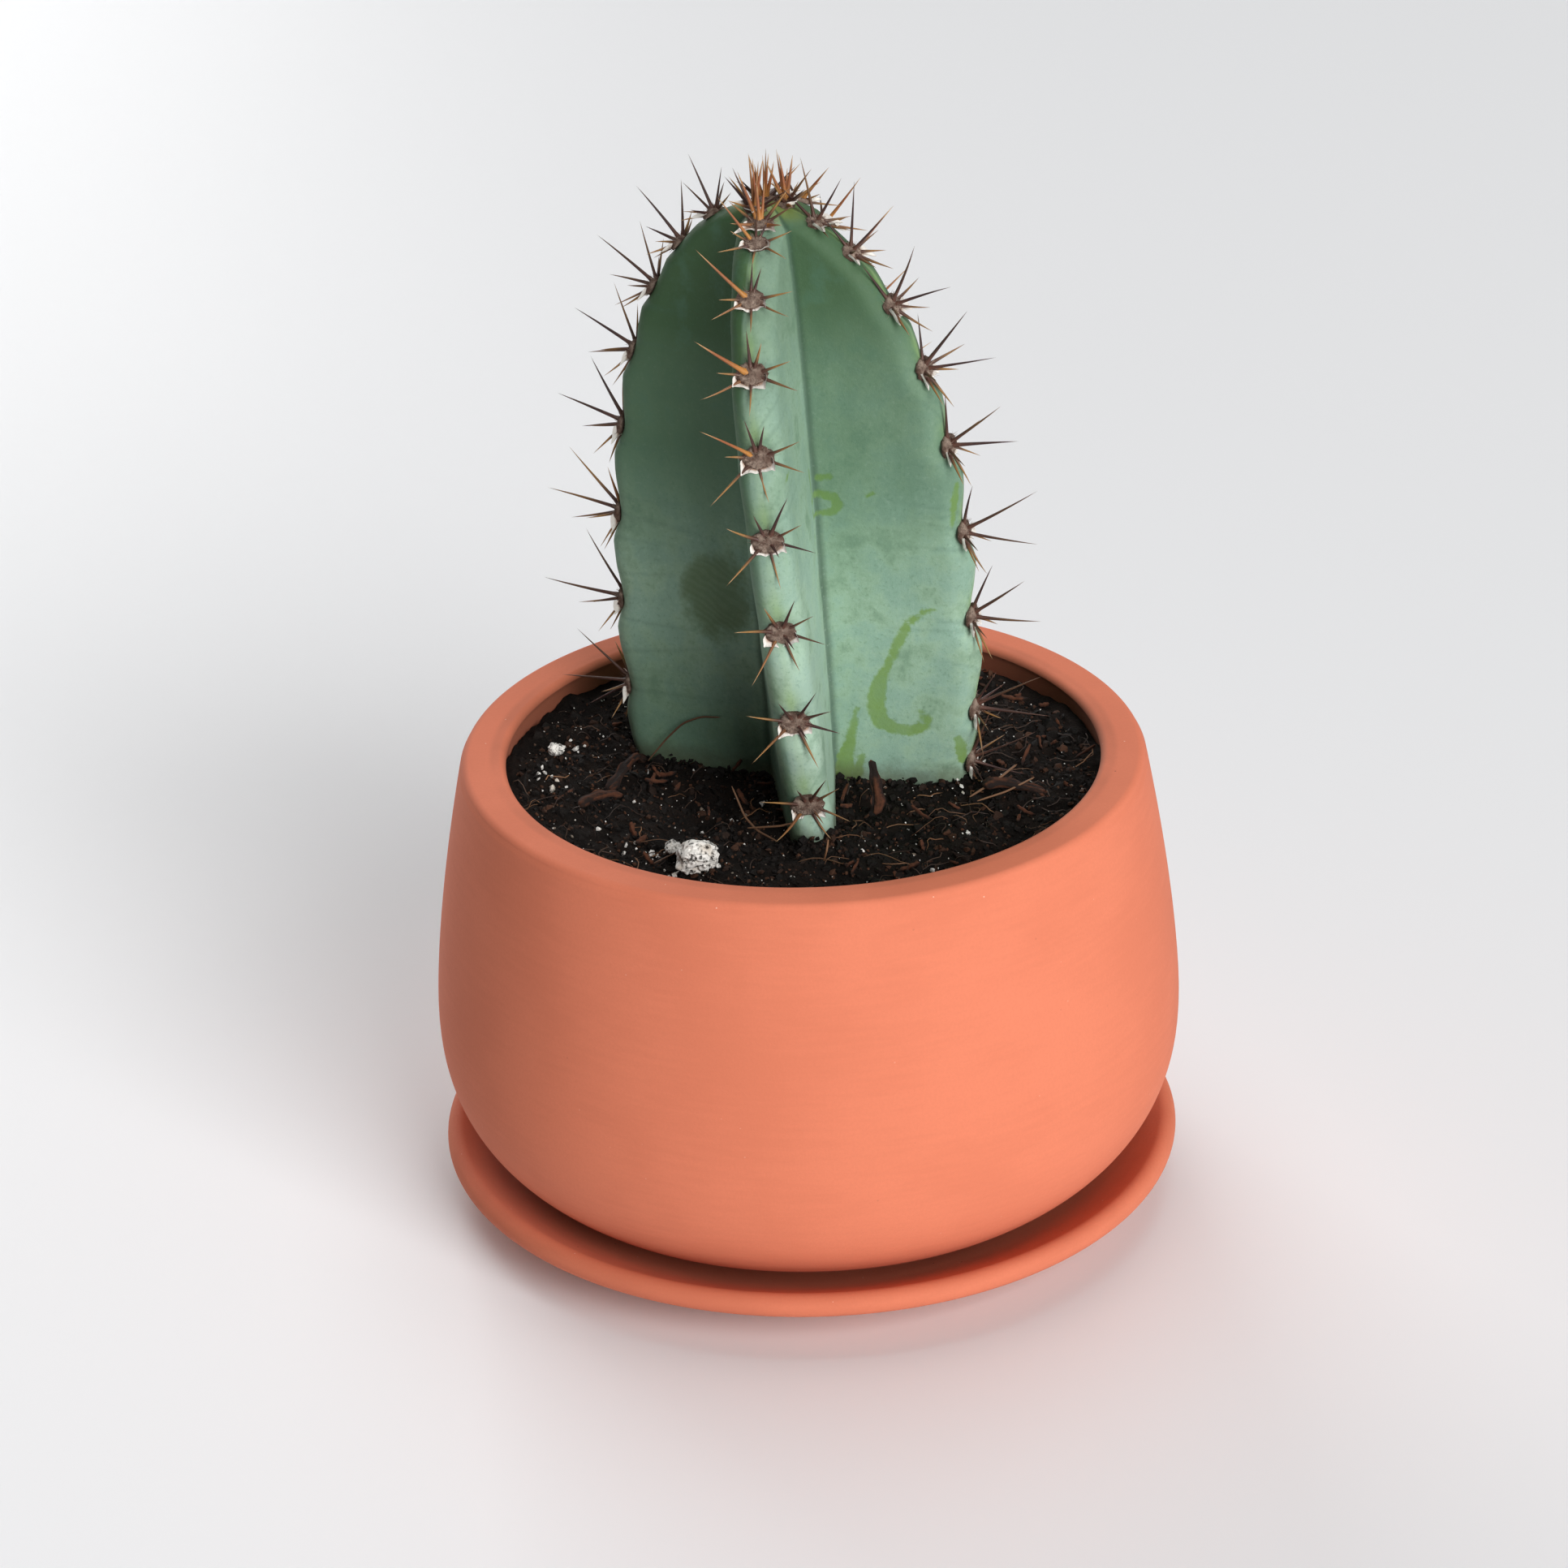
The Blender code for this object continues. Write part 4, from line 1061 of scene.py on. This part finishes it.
def cluster(origin, axes, template, size, shrink, draw, floor=None, scatter=1.0, torn=1.0):
    """An areole's parts: cushion and hairs, scale, and spines by a template.
    A spine's way is cos(lift) along the skin and sin(lift) off it, and scatter
    is how freely it strays from its template."""
    parts = [(*wool_pad(origin, axes, size, draw), 0)]
    parts += wool_hairs(origin, axes, size, HAIRS, draw)
    parts.append((*torn_scale(origin, axes, size, draw, torn), 1))
    for angle, lift, length, tone in template:
        angle = np.radians(angle + scatter * draw.normal(0, 5))
        lift = np.radians(lift + scatter * draw.normal(0, 4))
        length = length * shrink * draw.uniform(0.88, 1.10) / 1000
        way = np.array([np.cos(lift) * np.cos(angle), np.cos(lift) * np.sin(angle), np.sin(lift)])
        root = origin + (way * size * (PAD_WIDTH, PAD_HEIGHT, PAD_RISE) * 0.55) @ axes
        bend = draw.normal(0, 0.035, 3)
        if floor is not None:
            fall = root[2] + length * ((way @ axes)[2] + bend[2])
            bend[2] += max(0.0, floor - fall) / length
        girth = SPINE_RADIUS * draw.uniform(0.85, 1.12) * (0.6 + 0.4 * shrink)
        girth = girth * (1 + 0.25 * smoothly(0.7, 1.0, tone))
        tone = float(np.clip(tone + draw.normal(0, 0.10), 0, 1))
        parts.append((*spine(root, way @ axes, bend, length, girth, tone), 2))
    return parts


wool = Finish("areole_wool", Roughness=0.95, Specular_IOR_Level=0.2)
wool_felt = wool.noise(0.0004, 4.0)
wool.paint((0.105, 0.062, 0.046),
           (wool.value("tone").step(0.2, 1.2), (0.44, 0.34, 0.27)),
           (wool_felt.step(0.45, 0.72) * 0.5, (0.030, 0.016, 0.013)))
wool.bump(wool_felt, 0.0003)

paper = Finish("torn_scale", Roughness=0.75)
paper_veins = paper.noise(0.0007, 3.0)
paper.paint((0.80, 0.76, 0.70),
            (paper.value("tone").step(0.35, 0.95), (0.36, 0.22, 0.15)),
            (paper_veins.step(0.55, 0.80) * 0.45, (0.30, 0.19, 0.13)))
paper.bump(paper_veins, 0.0002)

horn = Finish("spine_horn", Specular_IOR_Level=0.5)
out_along = horn.value("along")
warm = horn.value("tone")
horn_streak = horn.noise(0.0005, 2.0)
dark = horn.mix(out_along.step(0.0, 0.40), (0.110, 0.046, 0.030), (0.042, 0.016, 0.014))
dark = horn.mix(out_along.step(0.60, 1.0), dark, (0.105, 0.050, 0.038))
half = horn.mix(out_along.step(0.15, 0.60), (0.070, 0.028, 0.018), (0.300, 0.150, 0.042))
half = horn.mix(out_along.step(0.70, 1.0), half, (0.430, 0.290, 0.160))
bright = horn.mix(out_along.step(0.0, 0.45), (0.480, 0.205, 0.042), (0.300, 0.100, 0.036))
bright = horn.mix(out_along.step(0.55, 1.0), bright, (0.470, 0.300, 0.140))
horn.paint(dark, (warm.step(0.12, 0.50), half), (warm.step(0.58, 0.90), bright),
           (horn_streak.step(0.55, 0.80) * 0.35, (0.16, 0.070, 0.040)))
horn.feed("Roughness", 0.42 + 0.25 * horn_streak)
horn.bump(horn_streak, 0.00006)

draw = np.random.default_rng(61)
for rib, (_, levels) in RIBS.items():
    for number, level in enumerate(levels, start=1):
        point, out, up, side = crest_frame(rib, level / 1000)
        axes = np.stack([side, up, out])
        young = max(0.0, (level / 1000 - DOME_START) / (STEM_TOP - DOME_START))
        low = rib == "front" and number <= LOW_AREOLES
        template = SPINE_TEMPLATES["front_low" if low else rib]
        parts = cluster(point + 0.0001 * out, axes, template, 1 - 0.25 * young,
                        1 - 0.30 * young, draw, floor=SOIL_HEIGHT + 0.0015,
                        torn=1.0 if rib == "front" else 1.7)
        add_piece(f"spines_{rib}_{number}", parts, [wool, paper, horn],
                  [f"areole_{rib}_{number}"], sharp=60)

# ================================================================ crown
# The newest areoles crowd round the growing tip. Their spines are still
# upright and close, yellow-green at the base, then orange and dark red.
TUFTS = (                        # azimuth, distance from the axis, how torn
    (5, 0.0034, 0.8), (105, 0.0030, 0.5), (222, 0.0036, 1.6),
)
TUFT_SPINES = (
    (90, 84, 9.5, 0.95), (60, 72, 10.5, 0.75), (120, 62, 9.5, 0.90), (20, 46, 8.0, 0.10),
    (160, 40, 8.5, 0.55), (-30, 56, 7.5, 0.95), (210, 46, 8.0, 0.15), (-90, 34, 7.0, 0.60),
    (-60, 76, 9.0, 1.00), (250, 66, 9.5, 0.25), (0, 26, 7.0, 0.30), (180, 30, 6.5, 0.80),
)
YOUNGEST = 0.2140                # height of the youngest areole on the front crest
YOUNG_SPINES = (
    (128, 52, 9.5, 0.95), (84, 60, 9.0, 0.90), (40, 46, 7.5, 0.85), (160, 30, 7.0, 0.30),
    (12, 30, 7.0, 0.25), (215, 26, 6.0, 0.75), (-40, 28, 5.5, 0.60), (100, 80, 8.0, 1.00),
)
draw = np.random.default_rng(62)
for number, (azimuth, distance, torn) in enumerate(TUFTS, start=1):
    turn = np.radians(azimuth)
    outward = np.array([np.cos(turn), np.sin(turn), 0])
    point = np.array([*stem_axis(STEM_TOP), STEM_TOP - 0.0002]) + distance * outward
    out = np.array([0.0, 0.0, 1.0])
    side = np.array([-outward[1], outward[0], 0])
    axes = np.stack([side, np.cross(out, side), out])
    parts = cluster(point, axes, TUFT_SPINES, 0.80, 1.0, draw, scatter=2.8, torn=torn)
    if number == len(TUFTS):
        point, out, up, side = crest_frame("front", YOUNGEST)
        axes = np.stack([side, up, out])
        parts += cluster(point, axes, YOUNG_SPINES, 0.85, 1.0, draw, scatter=1.5, torn=2.2)
    add_piece(f"crown_spines_{number}", parts, [wool, paper, horn],
              [f"crown_tuft_{number}"], sharp=60)

# ================================================================ loose pieces
# Lumps of white perlite and chips of bark that lie on top of the soil.
LIE = SOIL_HEIGHT + 0.0004       # level that the chips lie on
LUMPS = ("perlite_lump", "perlite_small_1", "perlite_small_2")
PLANES = 15                      # flats broken on a lump


def lump_grid(low, high, seed):
    """An angular, pitted lump that fills a box: what is left of a ball inside
    random planes, at h / cos of the angle to each, with dents and pits."""
    v = np.linspace(-np.pi / 2, np.pi / 2, 60)[1:-1, None]
    turn = np.linspace(0, 2 * np.pi, 90, endpoint=False)[None, :]
    x, y = np.cos(v) * np.cos(turn), np.cos(v) * np.sin(turn)
    ball = np.stack([x, y, np.sin(v) + 0 * turn], axis=-1)
    draw = np.random.default_rng(seed)
    normals = draw.normal(size=(PLANES, 3))
    normals /= np.linalg.norm(normals, axis=1)[:, None]
    planes = draw.uniform(0.66, 0.92, PLANES) / np.maximum(ball @ normals.T, 0.05)
    dents = 0.10 * rough(ball, 0.42, seed + 10) + 0.05 * rough(ball, 0.16, seed + 30)
    pits = -0.17 * smoothly(0.15, 0.45, rough(ball, 0.24, seed + 20))
    ball = ball * (np.minimum(planes.min(axis=-1), 1.0) + dents + pits)[..., None]
    middle, half = (high + low) / 2, (high - low) / 2
    return middle + ball * half / np.abs(ball).max(axis=(0, 1))


for seed, node in enumerate(LUMPS, start=71):
    low, high = (np.array(corner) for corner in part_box(node))
    grid = lump_grid(low, high, seed)
    lump = shell(grid, foot=grid[0].mean(axis=0), tip=grid[-1].mean(axis=0))
    add_piece(node.replace("perlite", "white"), [lump], [perlite], [node])

bark = Finish("bark", Specular_IOR_Level=0.3)
bark_grain = 0.45 * bark.noise(0.0010, 5.0, roughness=0.7) + 0.55 * bark.value("streak")
bark.paint((0.011, 0.0052, 0.0036), (bark_grain.step(0.38, 0.72), (0.098, 0.034, 0.016)))
bark.feed("Roughness", 0.78 + 0.2 * bark_grain)
bark.bump(bark_grain, 0.0005)
CHIPS = {                        # CAD node: (size, place, turn, tilt)
    "bark_chip_1": ((0.0112, 0.0022, 0.0010), (0.0143, -0.0185), 1.5, -1.15),
    "bark_chip_2": ((0.0125, 0.0020, 0.0012), (-0.0370, -0.0020), 0.9, -0.1),
    "bark_chip_3": ((0.0105, 0.0019, 0.0012), (-0.0415, -0.0120), 0.5, 0.1),
    "bark_chip_4": ((0.0140, 0.0028, 0.0014), (0.0430, -0.0130), 0.1, 0.08),
}


def chip(size, place, turn, tilt, seed):
    """A splinter: rings along its length whose section is a rounded box, with
    ragged tapering ends, then tilted, turned and laid at its place."""
    u = np.linspace(-0.5, 0.5, 26)[:, None]
    around = np.linspace(0, 2 * np.pi, 20, endpoint=False)[None, :]
    ragged = 1 - 0.45 * u + 0.16 * np.sin(17 * u + seed)
    taper = (1 - np.abs(2 * u) ** 7) ** 0.5 * ragged + 0.05
    width = np.sign(np.cos(around)) * np.abs(np.cos(around)) ** 0.6 * size[1] / 2 * taper
    thick = np.sign(np.sin(around)) * np.abs(np.sin(around)) ** 0.6 * size[2] / 2 * taper
    local = np.stack([size[0] * u + 0 * around, width, thick], axis=-1)
    streaks = rough(local * (0.15, 1, 1), 0.0005, seed)
    local = local + 0.00022 * streaks[..., None] * np.array([0, 1, 1])
    local[..., 1] += 0.06 * size[0] * np.sin(4 * u + seed)
    local[..., 2] += size[2] * 0.7 * np.sin(3 * u + seed)
    spin = Matrix.Rotation(turn, 3, "Z") @ Matrix.Rotation(tilt, 3, "Y")
    grid = local @ np.array(spin).T
    grid = grid + (place[0], place[1], LIE - grid[..., 2].min())
    return shell(grid, foot=grid[0].mean(axis=0), tip=grid[-1].mean(axis=0),
                 streak=0.5 + 0.5 * streaks)


for seed, (node, laid) in enumerate(CHIPS.items(), start=81):
    add_piece(node.replace("chip", "splinter"), [chip(*laid, seed)], [bark], [node])

draw = np.random.default_rng(91)
shreds = []
for place in on_soil(80, draw, 0.0, 0.6):
    size = (draw.uniform(0.002, 0.0060), draw.uniform(0.0004, 0.0011), draw.uniform(0.0004, 0.0007))
    shreds.append(chip(size, place[:2], draw.uniform(0, 6.3), draw.normal(0, 0.35), 92))
add_piece("bark_shreds", shreds, [bark])

# ================================================================ twig
# A dry root fibre that leans on the stem's left face, and a few shed spines
# and rootlets near the foot of the front rib and at the right of the stem.
def strand(points, thickness, tone, steps=22):
    """A thin strand through points, in mm: straight runs between them, rounded
    by a running mean, and thinner towards both ends by sin(pi u) ^ 0.3."""
    points = np.array(points, float) / 1000
    u = np.linspace(0, len(points) - 1, steps)
    line = np.stack([np.interp(u, range(len(points)), column) for column in points.T], axis=1)
    line[1:-1] = (line[:-2] + line[1:-1] + line[2:]) / 3
    taper = 0.35 + 0.65 * np.sin(np.pi * u / u[-1]) ** 0.3
    return tube(line, thickness * taper, sides=5, tone=np.full(steps, tone))


STRANDS = (                      # points in mm, radius in m, tone
    (((-32.0, 5.8, 94.0), (-28.0, 5.9, 99.0), (-24.6, 5.4, 102.6), (-20.8, 4.1, 104.6),
      (-16.5, 2.7, 105.0)), 0.00022, 0.80),
    (((-14.5, -21.0, 101.0), (-12.0, -25.0, 96.0), (-9.5, -28.5, 94.6),
      (-5.5, -33.0, 94.4)), 0.00026, 0.80),
    (((-11.5, -27.5, 94.8), (-5.0, -30.5, 96.6), (0.5, -31.5, 98.4)), 0.00024, 0.85),
    (((3.6, -41.5, 94.2), (4.2, -42.5, 97.0), (4.6, -41.0, 98.8)), 0.00024, 0.95),
    (((33.5, -15.5, 94.6), (39.0, -12.0, 96.4), (43.5, -9.0, 98.6)), 0.00030, 0.88),
    (((35.0, -17.0, 94.4), (41.0, -15.0, 95.4), (47.0, -11.5, 96.8)), 0.00024, 0.92),
    (((-30.0, -41.0, 94.4), (-24.0, -39.0, 96.4), (-17.0, -40.5, 95.2)), 0.00018, 0.75),
)
add_piece("dry_strands", [strand(*row) for row in STRANDS], [root], sharp=80)

# ================================================================ floor, light and camera
# A plain white table top under soft studio light, which comes mostly from a
# large window-like panel to the front right.
TABLE_HALF = 6.0
PANEL_DISTANCE = 8.0
PANELS = (                       # azimuth and elevation in degrees, side in m, watts
    ("window_low", -53, 14, 4.0, 275.0),
    ("window_high", -60, 29, 4.6, 450.0),
    ("white_wall", 112, 16, 4.2, 275.0),
    ("ceiling", 100, 74, 7.0, 275.0),
)
SENSOR_WIDTH = 36.0              # mm, as the focal length is
FOCAL_LENGTH = 115.53
CAMERA_PLACE = (0.0, -0.9264, 0.5523)
YAW, PITCH, ROLL = -0.0044, 0.4622, -0.0250
table = bpy.data.meshes.new("table_top")
corners = np.array([(-1, -1, 0), (1, -1, 0), (1, 1, 0), (-1, 1, 0)], float) * TABLE_HALF
table.from_pydata(corners, [], [(0, 1, 2, 3)])
lacquer = Finish("white_lacquer", Roughness=0.45, Specular_IOR_Level=0.25)
lacquer.paint((0.855, 0.860, 0.872), (lacquer.noise(0.4, 2.0), (0.875, 0.878, 0.888)))
table.materials.append(lacquer.material)
table_top = bpy.data.objects.new("table_top", table)
bpy.context.scene.collection.objects.link(table_top)

world = bpy.data.worlds.new("studio")
world.use_nodes = True
backdrop = world.node_tree.nodes["Background"]
backdrop.inputs["Color"].default_value = (0.96, 0.98, 1.0, 1.0)
backdrop.inputs["Strength"].default_value = 0.08
bpy.context.scene.world = world
bpy.context.scene.view_settings.view_transform = "Standard"


def panel(name, azimuth, elevation, size, power):
    """A square light panel, 8 m from the pot, which it faces from an azimuth
    and an elevation."""
    light = bpy.data.lights.new(name, "AREA")
    light.size = size
    light.energy = power
    lamp = bpy.data.objects.new(name, light)
    a, e = np.radians(azimuth), np.radians(elevation)
    way = Vector((np.cos(e) * np.cos(a), np.cos(e) * np.sin(a), np.sin(e)))
    facing = way.to_track_quat("Z", "Y").to_matrix().to_4x4()
    lamp.matrix_world = Matrix.Translation(PANEL_DISTANCE * way) @ facing
    lamp.visible_camera = False
    bpy.context.scene.collection.objects.link(lamp)


for row in PANELS:
    panel(*row)

lens = bpy.data.cameras.new("camera")
lens.sensor_width = SENSOR_WIDTH
lens.lens = FOCAL_LENGTH
lens.clip_end = 20.0
camera = bpy.data.objects.new("camera", lens)
ahead = np.array([np.sin(YAW) * np.cos(PITCH), np.cos(YAW) * np.cos(PITCH), -np.sin(PITCH)])
level_right = np.array([np.cos(YAW), -np.sin(YAW), 0.0])
level_up = np.cross(level_right, ahead)
right = np.cos(ROLL) * level_right + np.sin(ROLL) * level_up
above = -np.sin(ROLL) * level_right + np.cos(ROLL) * level_up
placed = np.eye(4)
placed[:3, 0], placed[:3, 1], placed[:3, 2] = right, above, -ahead
placed[:3, 3] = CAMERA_PLACE
camera.matrix_world = Matrix(placed.tolist())
bpy.context.scene.collection.objects.link(camera)
bpy.context.scene.camera = camera
